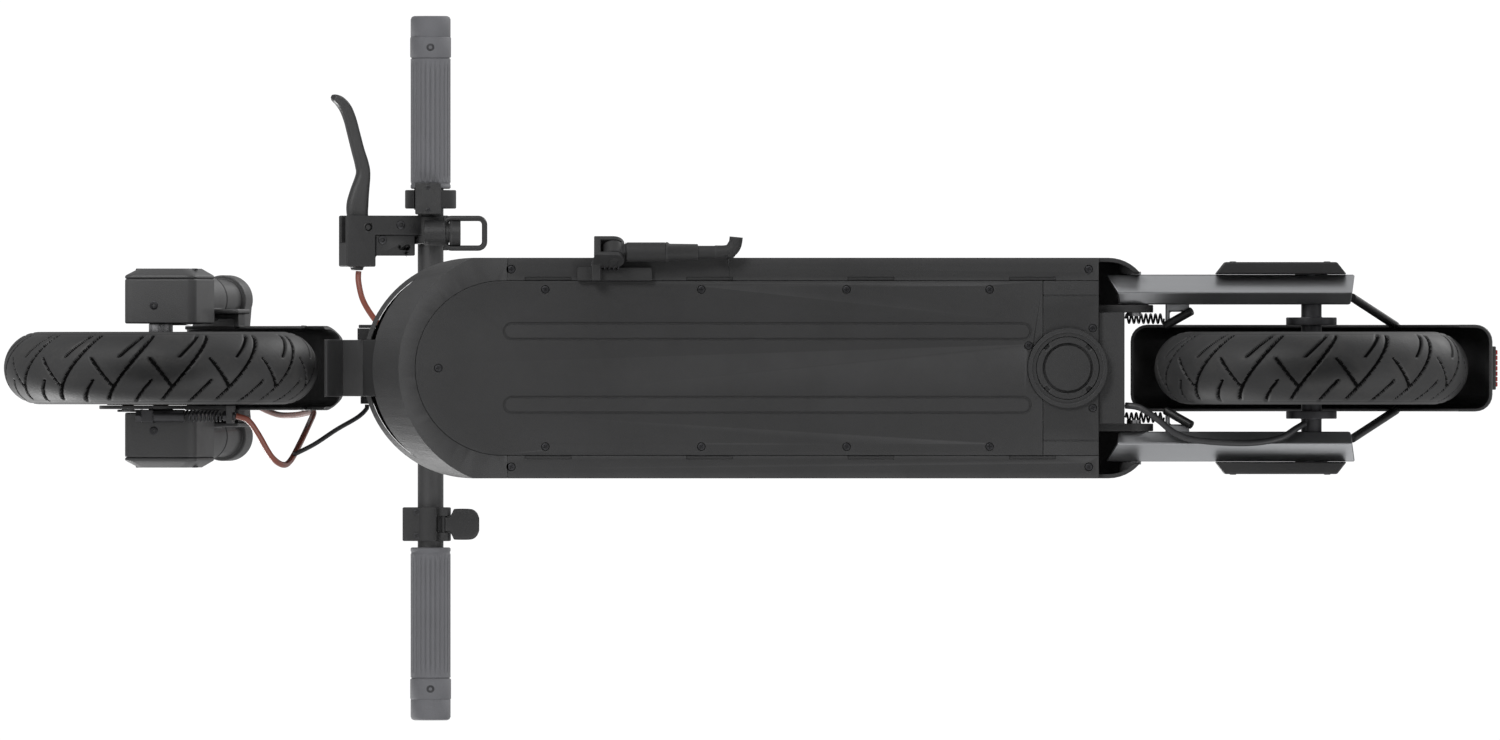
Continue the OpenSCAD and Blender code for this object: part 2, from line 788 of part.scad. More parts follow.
module brake_plate() {
    color(charcoal) steered() difference() {
        union() {
            rod_y(drum_r - 1, plate_y - plate_t, plate_y);
            rod_y(10, -pod_in + part_gap, plate_y);
            rod_y(4, plate_y - 1, plate_y + 20, -anchor_r * cos(cam_angle),
                -anchor_r * sin(cam_angle));
            // Arm that holds the end of the cable
            side_plate(plate_y - plate_t, plate_y)
                polygon([[-26, -40], [-48, -16], [adjuster_u - 5, link_w + 9],
                    [adjuster_u - 5, link_w - 6], [adjuster_u, link_w - 6],
                    [adjuster_u, link_w + 7]]);
            box([adjuster_u - 5, link_y - 6, link_w - 6], [adjuster_u, plate_y, link_w + 6]);
        }
        rod_y(front_axle_r, -60, 0);
        rod_y(5 + run_fit, -60, 0, cam_u, cam_w);
        rod_x(3.25, adjuster_u - 8, adjuster_u + 3, link_y, link_w);
    }
}

module brake_shoes() {
    color("#6a5a4c") steered() for (a = [cam_angle, cam_angle + 180])
        rotate([0, -a, 0]) turned_arc(23, 157)
            translate([36.5, -plate_y - 21]) square([8, 20.7]);
}

module brake_arm() {
    color(silver) steered() {
        rod_y(5, plate_y - plate_t - 2.4, plate_y + 20, cam_u, cam_w);
        side_plate(plate_y - plate_t - 2.4, plate_y - plate_t - 0.4) union() {
            translate([cam_u, cam_w]) circle(9);
            polygon([[cam_u - 7, cam_w + 3], [cam_u + 7, cam_w - 3], [4, link_w], [-4, link_w]]);
        }
        box([-5, link_y - 5, link_w - 5], [5, plate_y - plate_t - 0.4, link_w + 5]);
        rod_x(5.2, barrel_end, -5, link_y, link_w);
        translate([5, link_y, link_w]) rotate([0, 90, 0]) cylinder(r = 5.5, h = 5, $fn = 6);
    }
}

module brake_adjuster() {
    color(silver) steered() difference() {
        union() {
            rod_x(3.2, adjuster_u - 7, adjuster_u + 4, link_y, link_w);
            translate([adjuster_u, link_y, link_w]) rotate([0, 90, 0])
                cylinder(r = 4.8, h = 3, $fn = 6);
        }
        rod_x(1.2, adjuster_u - 8, adjuster_u + 5, link_y, link_w);
    }
}

module brake_spring() {
    gap_l = barrel_end - adjuster_u - 4 - 2 * part_gap;
    color(silver) steered() translate([adjuster_u + 4 + part_gap, link_y, link_w])
        rotate([0, 90, 0]) coil(4, 0.9, 8, gap_l);
}

module fork_springs() {
    color(silver) steered() for (y = [-leg_y, leg_y])
        translate([leg_u, y, 20.3]) coil(12, 1.8, 9, crown_low - 12.5 - 20.3);
}

module brake_cable_lower() {
    color(red_cable) translate([front_axle_x - route_front_x, 0, 0])
        tube(smooth_line(lower_brake_route, 4), 2.5, 10, [0, 1, 0]);
}

module harness() {
    color(black) translate([front_axle_x - route_front_x, 0, 0])
        tube(smooth_line(harness_route, 5), 1.9, 8, [0, 0, 1]);
}

// ---------- Wheels ----------

module tyre() {
    tyre_mid = wheel_r - tyre_w / 2;
    turned() difference() {
        translate([tyre_mid, 0]) circle(tyre_w / 2, $fn = 72);
        translate([0, -tyre_w]) square([rim_r, 2 * tyre_w]);
    }
}

// Half width of the tyre where it meets the rim
bead_half = sqrt(pow(tyre_w / 2, 2) - pow(wheel_r - tyre_w / 2 - rim_r, 2));

module front_tyre() {
    color(black) steered() tyre();
}

module front_rim() {
    color(charcoal) steered() difference() {
        turned() union() {
            translate([rim_r - 6, -bead_half]) square([6, 2 * bead_half]);
            translate([drum_r - 4, -5]) square([rim_r - drum_r, 10]);
            // Brake drum, its web and the bearing housing
            translate([drum_in, -4]) square([drum_r - drum_in, 34]);
            translate([14, -5]) square([drum_in - 12, 7]);
            translate([14, -29]) square([7, 31]);
        }
        for (a = [0:36:324]) rotate([0, a, 0]) rod_y(7, -10, 10, (drum_r + rim_r - 6) / 2);
    }
}

module front_bearings() {
    color(silver) steered() for (y = [-2, 19])
        rotate([-90, 0, 0]) translate([0, 0, y]) difference() {
            cylinder(r = 14, h = 10);
            translate([0, 0, -1]) cylinder(r = front_axle_r + run_fit, h = 12);
        }
}

// ---------- Stem and handlebar ----------

stem_top = bar_w_pos - 25;

module stem_tube() {
    color(charcoal) steered() difference() {
        union() {
            translate([0, 0, base_top + 10]) cylinder(r = stem_r, h = stem_top - base_top - 10);
            intersection() {
                translate([0, 0, base_top + 0.5]) cylinder(r = 26, h = 13.5);
                box([-15.5, -30, base_top], [30, 30, base_top + 20]);
            }
            // Knuckle of the folding hinge
            rod_y(10, -13.7, 13.7, fold_u, fold_w);
            box([fold_u, -13.7, fold_w - 9], [-10, 13.7, fold_w + 8]);
            // Ears and pin of the latch lever
            for (y = [-16, 12.3]) box([10, y, 372], [34, y + 3.7, 390]);
            rod_y(3, -13, 13, 28, 383);
        }
        translate([0, 0, base_top + 20]) cylinder(r = stem_r - 2.5, h = stem_top);
        rod_y(4 + run_fit, -14, 14, fold_u, fold_w);
    }
}

module fold_latch() {
    color(black) steered() difference() {
        union() {
            rod_y(6, -12, 12, 28, 383);
            side_plate(-11.8, 11.8) polygon([[22.5, 384], [22.5, 452], [28, 456],
                [33, 452], [33.8, 384]]);
        }
        rod_y(3 + run_fit, -14, 14, 28, 383);
    }
}

module stem_head() {
    color(black) at_bar() difference() {
        union() {
            side_plate(-32, 32) round_rect([-24, -26], [28, 20], 9);
            translate([0, 0, -52]) cylinder(r = stem_r + 4, h = 30);
        }
        rod_y(bar_r + run_fit, -33, 33);
        translate([0, 0, -60]) cylinder(r = stem_r + run_fit, h = 35.1);
        translate([0, 0, -25]) cylinder(r = stem_r - 2.5, h = 12);
        translate([-14, 0, 12]) cylinder(r = 5 + run_fit, h = 10);
        box([-4, -27, 19], [26, 27, 21]);
        rod_x(14 + run_fit, 24, 30, 0, -4);
    }
}

module display() {
    color("#101418") at_bar() box([-3.7, -26.7, 19], [25.7, 26.7, 21.5]);
}

module headlight() {
    color("#e8ecf0") at_bar() rod_x(14, 24, 31, 0, -4);
}

module power_button() {
    color(silver) at_bar() translate([-14, 0, 14]) cylinder(r = 5, h = 8);
}

module handlebar() {
    color(charcoal) bar_level() difference() {
        rod_y(bar_r, 6 - bar_width / 2, bar_width / 2 - 6);
        rod_y(bar_r - 2.2, -bar_width, bar_width);
    }
}

module grips() {
    grip_in = bar_width / 2 - grip_l;
    color(grip_grey) bar_level() both_sides() difference() {
        union() {
            rod_y(grip_r, grip_in, bar_width / 2 - 36);
            rod_y(grip_r + 0.4, bar_width / 2 - 36, bar_width / 2 - 18);
            rod_y(grip_r, bar_width / 2 - 18, bar_width / 2);
        }
        rod_y(bar_r + run_fit, grip_in - 1, bar_width / 2 - 6);
        // Flutes along the grip
        for (a = [0:15:345]) rotate([0, a, 0])
            rod_y(1, grip_in + 4, bar_width / 2 - 38, grip_r + 0.3);
    }
}

// Shape of the brake lever's blade, from its pivot to its tip
module blade_outline() {
    px = lever_pivot.x;
    py = lever_pivot.y;
    translate([px, py]) circle(8);
    polygon([[px - 6, py - 5], [px + 9, py + 4], [px + 16, py + 10], [px + 16.5, py + 18],
        [px + 13, py + 30], [px + 6, py + 45], [px + 7.5, py + 54], [px + 17, py + 90],
        [px + 23, py + 103], [px + 29, py + 108], [px + 30.5, py + 112],
        [px + 22, py + 113], [px + 14.5, py + 109], [px + 5, py + 85],
        [px - 5, py + 52], [px - 5.3, py + 44], [px - 4, py + 12]]);
}

module lever_frame() {
    bar_level() rotate([0, lever_tilt, 0]) children();
}

module lever_housing() {
    color(charcoal) lever_frame() difference() {
        union() {
            rod_y(bar_r + 5, 106.5, 131);
            translate([0, 0, -11]) linear_extrude(22) union() {
                translate([10, 114]) square([60, 17]);
                translate([53.5, 87]) square([26.5, 44]);
            }
            // Box of the brake switch
            translate([17, 96.5, -9]) cube([37, 18, 16]);
            rod_y(5.5, 84, 88, 67);
        }
        rod_y(bar_r + run_fit, 100, 140);
        // Slot that the lever swings in
        translate([0, 0, -6]) linear_extrude(12) union() {
            translate([50.5, 108]) square([40, 30]);
            translate([40, 122]) square([20, 20]);
        }
        translate([lever_pivot.x, lever_pivot.y, -12]) cylinder(r = 3, h = 24);
        rod_y(2.6, 83, 90, 67);
        for (p = [[24, 104], [31, 104], [25, 99]])
            translate([p.x, p.y, -10]) cylinder(r = 1, h = 4, $fn = 24);
    }
    // Pivot pin of the lever
    color(silver) lever_frame() translate([lever_pivot.x, lever_pivot.y, -11.5])
        cylinder(r = 3, h = 23);
}

module brake_lever() {
    color(charcoal) lever_frame() difference() {
        translate([0, 0, -5.6]) linear_extrude(11.2) blade_outline();
        translate([lever_pivot.x, lever_pivot.y, -12]) cylinder(r = 3 + run_fit, h = 24);
    }
}

module brake_cable_upper() {
    color(red_cable) translate([front_axle_x - route_front_x, 0, 0])
        tube(smooth_line(upper_brake_route, 5), 2.5, 10, [0, 0, 1]);
}

module switch_pod() {
    color(black) bar_level() difference() {
        union() {
            rod_y(22, 137, 153);
            box([-9, 132, -29], [13, 159, -17.8]);
        }
        rod_y(bar_r + run_fit, 130, 160);
    }
}

module bell_body() {
    color(black) bar_level() {
        rod_x(10.7, -26, -16.5, bell_y, bell_z);
        rod_x(8, -17, -12, bell_y, bell_z);
        rod_x(10.7, -13, 5, bell_y, bell_z);
        box([-6, bell_y - 6, bell_z + 8], [4, bell_y + 6, -bar_r - 5.2]);
        rod_y(2, bell_y - 15, bell_y + 15, bell_x, bell_z);
    }
}

module bell_hook() {
    color(black) bar_level() difference() {
        translate([0, 0, bell_z - 2.5]) linear_extrude(5) difference() {
            round_rect([-49, bell_y - 15.3], [bell_x + 4, bell_y + 14.7], 4);
            round_rect([-44, bell_y - 11.3], [bell_x + 8, bell_y + 11], 3);
        }
        rod_y(2 + run_fit, bell_y - 20, bell_y + 20, bell_x, bell_z);
    }
}

module throttle_body() {
    color(black) bar_level() difference() {
        union() {
            rod_y(17.5, throttle_y - 14.5, throttle_y + 14.5);
            box([0, throttle_y - 14.5, -14], [24, throttle_y + 14.5, 10]);
            for (y = [throttle_y - 14.5, throttle_y + 7])
                side_plate(y, y + 7.5) union() {
                    translate([throttle_x, throttle_z]) circle(5);
                    polygon([[throttle_x - 5, throttle_z], [throttle_x - 4, -9], [0, -9],
                        [throttle_x + 5, throttle_z]]);
                }
        }
        rod_y(bar_r + run_fit, -160, -100);
        box([throttle_x - 6.5, throttle_y - 7, throttle_z - 7],
            [throttle_x + 6.5, throttle_y + 7, throttle_z + 6.5]);
    }
    color(silver) bar_level()
        rod_y(2.5, throttle_y - 8, throttle_y + 8, throttle_x, throttle_z);
}

module throttle_lever() {
    color(black) bar_level() difference() {
        union() {
            rod_y(5, throttle_y - 6.7, throttle_y + 6.7, throttle_x, throttle_z);
            translate([0, 0, throttle_z - 5]) linear_extrude(6) union() {
                translate([throttle_x - 18, throttle_y - 6.7]) square([18, 13.4]);
                translate([throttle_x - 17, throttle_y]) circle(13.3);
            }
        }
        rod_y(2.5 + run_fit, throttle_y - 20, throttle_y + 20, throttle_x, throttle_z);
    }
}

// ---------- Rear end ----------

module arm_section() {
    polygon([[arm_out, -9], [arm_out, 12], [arm_out - 4, 17], [arm_in + 4, 17],
        [arm_in, 12], [arm_in, -12], [arm_in + 9.9, -20]]);
}

module rear_arms() {
    front = pivot_x + 24;
    rear = rear_axle_x - 36;
    color(silver) both_sides() difference() {
        union() {
            intersection() {
                translate([rear, 0, arm_z]) rotate([90, 0, 90])
                    linear_extrude(front - rear) arm_section();
                translate([0, 0, arm_z - 40]) linear_extrude(80) polygon([
                    [front, arm_out + 1], [front - 10, arm_in + 9.9], [front - 12, arm_in - 1],
                    [rear + 4, arm_in - 1], [rear, arm_out + 1]]);
            }
            // Lug that the spring pushes on
            box([pivot_x - 30, spring_y - 4.5, spring_z - 6],
                [pivot_x - 26.3, arm_in + 2, spring_z + 4]);
            box([pivot_x - 46, arm_in - 6, spring_z - 6], [pivot_x - 26.3, arm_in + 2, spring_z - 3]);
        }
        rod_y(pivot_r + run_fit, arm_in - 1, arm_out + 1, pivot_x, arm_z);
        rod_y(rear_axle_r, arm_in - 1, arm_out + 1, rear_axle_x, arm_z);
    }
}

module arm_covers() {
    x1 = rear_axle_x + 80;
    x0 = rear_axle_x - 29;
    color(black) both_sides() difference() {
        translate([0, 0, arm_z - 20]) linear_extrude(40) polygon([[x1, arm_out + 0.2],
            [x1 - 8, arm_out + 10.4], [x0 + 8, arm_out + 10.4], [x0, arm_out + 0.2]]);
        rod_y(15, arm_out, arm_out + 7.6, rear_axle_x, arm_z);
    }
}

module rear_axle() {
    color(silver) {
        rod_y(rear_axle_r, -arm_out - 7, arm_out + 7, rear_axle_x, arm_z);
        both_sides() {
            rod_y(21, 35.5, 42, rear_axle_x, arm_z);
            translate([rear_axle_x, arm_out, arm_z]) rotate([-90, 0, 0])
                cylinder(r = 14, h = 6, $fn = 6);
        }
        // Stator of the hub motor, held on the axle
        rod_y(48, -14, 14, rear_axle_x, arm_z);
    }
}

module rear_fender() {
    color(black) {
        translate([rear_axle_x, 0, arm_z])
            turned_arc(3, 186) guard_section(rear_guard_r, 36, rear_guard_r - 28, 2.5, 14);
        both_sides() {
            rod_between([rear_axle_x - 34, arm_in + 6, arm_z + 19.4],
                [rear_axle_x - 72, 35, arm_z + 104], 3.5);
            rod_between([pivot_x - 48, arm_in - 5.2, arm_z], [pivot_x - 26, 35, arm_z + 12], 3.5);
        }
        // Tail lamp
        box([rear_axle_x - guard_tail, -18, arm_z + 6], [rear_axle_x - rear_guard_r + 2, 18, arm_z + 30]);
    }
}

module rear_springs() {
    color(silver) both_sides()
        translate([pivot_x - 26, spring_y, spring_z]) rotate([0, 90, 0])
            coil(3.6, 0.9, 7, plate_rear - pivot_x + 26 - part_gap);
}

module motor_hub() {
    color(charcoal) translate([rear_axle_x, 0, arm_z]) turned() union() {
        translate([rim_r - 8, -bead_half]) square([8, 2 * bead_half]);
        translate([54, -24]) square([rim_r - 60, 48]);
        translate([50, -18]) square([5, 36]);
        for (y = [-27, 18]) translate([rear_axle_r + run_fit, y]) square([56 - rear_axle_r, 9]);
    }
}

module rear_tyre() {
    color(black) translate([rear_axle_x, 0, arm_z]) tyre();
}

module motor_cable() {
    color(black) translate([rear_axle_x - route_rear_x, 0, 0])
        tube(smooth_line(motor_route, 5), 2.7, 10, [0, 0, 1]);
}

frame();
nose_cover();
battery_cover();
service_panel();
service_cap();
deck_mat();
deck_screws();
rear_plate();
charge_port();
charge_cap();
battery_cells();
battery_case();
bms_board();
controller();
headset_bearings();
kickstand_base();
kickstand();
pivot_bolts();
fork_crown();
hinge_base();
hinge_pin();
harness();
fork_lowers();
axle_caps();
front_axle();
front_fender();
brake_plate();
brake_shoes();
brake_arm();
brake_adjuster();
brake_spring();
brake_cable_lower();
fork_springs();
front_tyre();
front_rim();
front_bearings();
stem_tube();
stem_head();
handlebar();
display();
headlight();
power_button();
fold_latch();
grips();
lever_housing();
brake_lever();
brake_cable_upper();
switch_pod();
bell_body();
bell_hook();
throttle_body();
throttle_lever();
rear_arms();
arm_covers();
rear_axle();
rear_fender();
rear_springs();
motor_hub();
rear_tyre();
motor_cable();
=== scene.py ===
# %% [markdown]
# # Dressing an electric kick scooter in Blender
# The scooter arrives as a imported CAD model: every part is a named node in its real place, in metres.
# X points forwards, Y to the rider's left, Z up, and the ground is z = 0. This lesson opens that frame,
# sets a camera under the scooter, and then gives each part the edges, small fittings and finishes
# that a maker would expect to find on it. Nothing of the frame is moved.
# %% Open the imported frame
import json
import math
import bpy
import bmesh
import numpy as np
from mathutils import Matrix, Vector


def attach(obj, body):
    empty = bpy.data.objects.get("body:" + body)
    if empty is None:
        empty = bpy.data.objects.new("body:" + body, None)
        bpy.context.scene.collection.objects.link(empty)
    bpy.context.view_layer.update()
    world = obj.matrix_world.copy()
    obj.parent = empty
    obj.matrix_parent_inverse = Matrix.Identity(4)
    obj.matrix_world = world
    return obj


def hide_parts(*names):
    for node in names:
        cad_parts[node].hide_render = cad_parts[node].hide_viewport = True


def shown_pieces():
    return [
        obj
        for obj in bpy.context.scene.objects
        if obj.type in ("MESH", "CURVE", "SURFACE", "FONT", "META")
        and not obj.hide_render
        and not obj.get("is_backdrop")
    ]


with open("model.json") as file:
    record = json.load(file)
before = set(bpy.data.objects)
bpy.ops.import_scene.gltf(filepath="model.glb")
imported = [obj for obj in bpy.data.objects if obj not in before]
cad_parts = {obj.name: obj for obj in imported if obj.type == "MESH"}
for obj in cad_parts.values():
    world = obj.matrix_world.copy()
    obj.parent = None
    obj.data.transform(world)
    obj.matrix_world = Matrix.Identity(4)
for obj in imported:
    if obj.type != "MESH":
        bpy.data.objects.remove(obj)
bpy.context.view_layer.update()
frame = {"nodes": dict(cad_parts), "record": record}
nodes = frame["nodes"]
body_of_node = {n: body for body, members in frame["record"]["behaviour"]["bodies"].items()
                for n in members}

# %% [markdown]
# ## Camera
# The scooter is seen from straight below, with its nose to the left. A very long lens far away keeps
# the handlebar, more than a metre above the deck, at nearly the same scale as the deck.
# %% A long lens below the deck
VIEW_WIDTH = 1.242
LENS, SENSOR = 820.0, 36.0
SCALE_HEIGHT = 0.12
scene = bpy.context.scene
camera = bpy.data.objects.new("camera", bpy.data.cameras.new("camera"))
scene.collection.objects.link(camera)
camera.data.lens, camera.data.sensor_width = LENS, SENSOR
distance = VIEW_WIDTH * LENS / SENSOR
camera.location = (0.0, -0.0016, SCALE_HEIGHT - distance)
camera.rotation_euler = (0.0, math.pi, 0.0)
camera.data.clip_start, camera.data.clip_end = 1.0, 80.0
scene.camera = camera
print("camera", round(distance, 2), "m below the axle line")

# %% [markdown]
# ## Two small helpers
# Shader trees and Geometry Nodes trees are built the same way: make a node, set its options, and give
# each input a value or a link. One helper does that for both. A second one turns plain lists of
# points and faces into an object that sits at the origin, with its place in its mesh.
# %% Nodes and meshes
def add(tree, kind, inputs=None, **options):
    """One node with its options; an input takes a value or another node's output."""
    made = tree.nodes.new(kind)
    for key, value in options.items():
        setattr(made, key, value)
    for key, value in (inputs or {}).items():
        if isinstance(value, bpy.types.NodeSocket):
            tree.links.new(value, made.inputs[key])
        else:
            made.inputs[key].default_value = value
    return made


def mesh_object(name, points, faces, smooth=True):
    mesh = bpy.data.meshes.new(name)
    mesh.from_pydata([tuple(p) for p in points], [], [tuple(f) for f in faces])
    mesh.polygons.foreach_set("use_smooth", [smooth] * len(mesh.polygons))
    mesh.update()
    made = bpy.data.objects.new(name, mesh)
    scene.collection.objects.link(made)
    return made


def place(piece, matrix):
    piece.data.transform(matrix)
    piece.data.update()
    return piece


# %% [markdown]
# ## Finishes
# Real finishes are never one flat colour. Each material here reads Object coordinates, so its grain
# has a true size in millimetres: a broad noise shifts the tone and the gloss, a fine noise gives the
# moulded or cast grain as bump, and where an edge is exposed the Pointiness of the mesh lets a
# slightly rubbed tone through. Values that are the same all over are set on the shader itself.
# The dictionary has one finish for each material slot; the few after it are for single parts.
# %% A finish from noise, grain and rubbed edges
def finish_of(name, colour, rough, grain=(900, 0.12), tone=0.16, broad=14.0, metal=0.0,
              worn=None, stretch=(1, 1, 1), dust=None, gloss_shift=0.07, depth=0.0004, **fixed):
    mat = bpy.data.materials.new(name)
    mat.use_nodes = True
    tree = mat.node_tree
    shader = tree.nodes["Principled BSDF"]
    where = add(tree, "ShaderNodeTexCoord")
    spot = add(tree, "ShaderNodeMapping", {"Vector": where.outputs["Object"], "Scale": stretch})
    wide = add(tree, "ShaderNodeTexNoise", {"Vector": spot.outputs[0], "Scale": broad,
                                            "Detail": 5.0, "Roughness": 0.6})
    fine = add(tree, "ShaderNodeTexNoise", {"Vector": spot.outputs[0], "Scale": grain[0],
                                            "Detail": 2.0, "Roughness": 0.5})
    shade = [tuple(c * k for c in colour) + (1.0,) for k in (1 - tone, 1 + tone)]
    spread = add(tree, "ShaderNodeMapRange", {"Value": wide.outputs["Fac"],
                                              "From Min": 0.3, "From Max": 0.7})
    tint = add(tree, "ShaderNodeMix", {0: spread.outputs[0], 6: shade[0], 7: shade[1]},
               data_type="RGBA")
    last = tint.outputs[2]
    if dust:
        patch = add(tree, "ShaderNodeTexNoise", {"Vector": where.outputs["Object"],
                                                 "Scale": 38.0, "Detail": 8.0, "Roughness": 0.7})
        sift = add(tree, "ShaderNodeMapRange", {"Value": patch.outputs["Fac"], "From Min": 0.5,
                                                "From Max": 0.75, "To Max": dust[1]})
        last = add(tree, "ShaderNodeMix", {0: sift.outputs[0], 6: last, 7: dust[0] + (1.0,)},
                   data_type="RGBA").outputs[2]
    if worn:
        edge = add(tree, "ShaderNodeNewGeometry")
        rub = add(tree, "ShaderNodeMapRange", {"Value": edge.outputs["Pointiness"],
                                               "From Min": 0.53, "From Max": 0.62, "To Max": 0.55})
        broken = add(tree, "ShaderNodeMath", {0: rub.outputs[0], 1: wide.outputs["Fac"]},
                     operation="MULTIPLY")
        last = add(tree, "ShaderNodeMix", {0: broken.outputs[0], 6: last, 7: worn + (1.0,)},
                   data_type="RGBA").outputs[2]
    tree.links.new(last, shader.inputs["Base Color"])
    gloss = add(tree, "ShaderNodeMapRange", {"Value": wide.outputs["Fac"], "From Min": 0.3,
                "From Max": 0.7, "To Min": rough - gloss_shift, "To Max": rough + gloss_shift})
    tree.links.new(gloss.outputs[0], shader.inputs["Roughness"])
    bump = add(tree, "ShaderNodeBump", {"Height": fine.outputs["Fac"], "Strength": grain[1],
                                        "Distance": depth})
    tree.links.new(bump.outputs[0], shader.inputs["Normal"])
    shader.inputs["Metallic"].default_value = metal
    for key, value in fixed.items():
        shader.inputs[key.replace("_", " ")].default_value = value
    return mat


GREY_EDGE = (0.12, 0.12, 0.122)
FINISH = {
    "deck_paint": finish_of("deck_paint", (0.029, 0.029, 0.0295), 0.56, (1500, 0.6), 0.09, 9,
                            worn=GREY_EDGE, Specular_IOR_Level=0.3),
    "deck_plastic": finish_of("deck_plastic", (0.0265, 0.0265, 0.027), 0.6, (1100, 0.8), 0.1, 11,
                              worn=GREY_EDGE, Specular_IOR_Level=0.32),
    "rubber_mat": finish_of("rubber_mat", (0.022, 0.022, 0.023), 0.82, (700, 0.8), 0.14, 20,
                            dust=((0.09, 0.085, 0.08), 0.25)),
    "steel_screw": finish_of("steel_screw", (0.05, 0.05, 0.053), 0.38, (500, 0.15), 0.2, 120,
                             metal=0.85),
    "cast_dark": finish_of("cast_dark", (0.027, 0.027, 0.0275), 0.44, (800, 0.5), 0.12, 18,
                           worn=(0.16, 0.16, 0.165), Coat_Weight=0.12),
    "black_plastic": finish_of("black_plastic", (0.013, 0.013, 0.0135), 0.46, (900, 0.45), 0.12, 22,
                               worn=(0.07, 0.07, 0.072)),
    "cell_wrap": finish_of("cell_wrap", (0.06, 0.28, 0.2), 0.3, (90, 0.1), 0.12, 30),
    "case_film": finish_of("case_film", (0.02, 0.09, 0.34), 0.25, (160, 0.3), 0.15, 25),
    "board_green": finish_of("board_green", (0.01, 0.12, 0.04), 0.35, (260, 0.3), 0.2, 60),
    "bright_metal": finish_of("bright_metal", (0.33, 0.335, 0.345), 0.34, (420, 0.12), 0.1, 16,
                              metal=0.92, stretch=(0.05, 1, 1), Anisotropic=0.35),
    "steel": finish_of("steel", (0.42, 0.42, 0.43), 0.3, (300, 0.1), 0.16, 60, metal=1.0),
    "tyre": finish_of("tyre", (0.027, 0.027, 0.0275), 0.62, (520, 0.5), 0.2, 26,
                      worn=(0.04, 0.04, 0.042), dust=((0.075, 0.07, 0.065), 0.3)),
    "brake_lining": finish_of("brake_lining", (0.13, 0.1, 0.075), 0.85, (500, 0.9), 0.25, 90),
    "red_cable": finish_of("red_cable", (0.2, 0.05, 0.03), 0.34, (260, 0.1), 0.12, 40,
                           Coat_Weight=0.3),
    "black_cable": finish_of("black_cable", (0.03, 0.03, 0.032), 0.45, (420, 0.2), 0.14, 40),
    "grip_rubber": finish_of("grip_rubber", (0.112, 0.113, 0.122), 0.7, (800, 0.6), 0.08, 24,
                             Sheen_Weight=0.15),
    "display_glass": finish_of("display_glass", (0.008, 0.01, 0.012), 0.08, (60, 0.02), 0.1, 12,
                               gloss_shift=0.03, Coat_Weight=0.6),
    "lamp_lens": finish_of("lamp_lens", (0.82, 0.85, 0.88), 0.12, (150, 0.1), 0.03, 40,
                           gloss_shift=0.04, Transmission_Weight=0.35),
}
POD_PAINT = finish_of("pod_paint", (0.05, 0.05, 0.051), 0.5, (1300, 0.5), 0.1, 20,
                      worn=(0.13, 0.13, 0.132), Coat_Weight=0.1)
# Near-black rubber for the faces inside the tread grooves: painted shade, standing in for the shadow in
# a groove
PAINTED_GROOVE_SHADE = finish_of("painted_groove_shade", (0.0035, 0.0035, 0.0036), 0.9, (520, 0.4), 0.2, 26,
                          Specular_IOR_Level=0.1)
DARK_STEEL = finish_of("dark_steel", (0.06, 0.06, 0.063), 0.36, (300, 0.2), 0.16, 60, metal=0.7)
RED_LENS = finish_of("red_lens", (0.35, 0.008, 0.006), 0.16, (240, 0.2), 0.1, 60,
                     gloss_shift=0.05, Transmission_Weight=0.25)
LIT_SEGMENT = finish_of("lit_segment", (0.7, 0.9, 0.95), 0.4, (300, 0.1), 0.04, 90,
                        Emission_Color=(0.6, 0.9, 1.0, 1.0), Emission_Strength=1.5)
print("finishes named by the frame:", len(FINISH))

# %% [markdown]
# ## Which part takes which finish
# Every node of the frame gets its finish here, the hidden ones in the battery bay too. Later cells
# replace many of these nodes with softer-edged pieces, which take the same finish.
# %% Finishes for the nodes
NODE_FINISH = {
    "deck_paint": "frame kickstand_base kickstand",
    "deck_plastic": "nose_cover battery_cover service_panel service_cap rear_plate",
    "rubber_mat": "deck_mat",
    "steel_screw": "deck_screws brake_spring fork_springs rear_springs rear_axle",
    "cast_dark": "fork_crown hinge_base fork_lowers axle_caps brake_plate front_rim motor_hub "
                 "stem_tube handlebar lever_housing brake_lever",
    "black_plastic": "charge_port charge_cap front_fender rear_fender arm_covers stem_head "
                     "fold_latch switch_pod bell_body bell_hook throttle_body throttle_lever",
    "cell_wrap": "battery_cells", "case_film": "battery_case", "board_green": "bms_board",
    "bright_metal": "rear_arms controller",
    "steel": "headset_bearings pivot_bolts hinge_pin front_axle brake_arm brake_adjuster "
             "front_bearings power_button",
    "tyre": "front_tyre rear_tyre", "brake_lining": "brake_shoes",
    "red_cable": "brake_cable_lower brake_cable_upper", "black_cable": "motor_cable harness",
    "grip_rubber": "grips", "display_glass": "display", "lamp_lens": "headlight",
}
finish_name = {n: key for key, names in NODE_FINISH.items() for n in names.split()}
for n, key in finish_name.items():
    nodes[n].data.materials.clear()
    nodes[n].data.materials.append(FINISH[key])
print("nodes with a finish:", len(finish_name), "of", len(nodes))


# %% [markdown]
# ## Handing a piece to the frame
# A finished piece rides on the same body as the node it belongs to, so that it moves with the real
# joint. If it stands for nodes of the frame, those are hidden.
# %% Keep a piece
def keep(piece, beside, material=None, instead=()):
    """piece moves with the body of the node named beside, and stands for the nodes in instead.

    material None gives it that node's finish, and False leaves the material it already has.
    """
    key = finish_name[beside]
    if material is not False:
        piece.data.materials.clear()
        piece.data.materials.append(material or FINISH[key])
    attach(piece, body_of_node[beside])
    if instead:
        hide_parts(*instead)


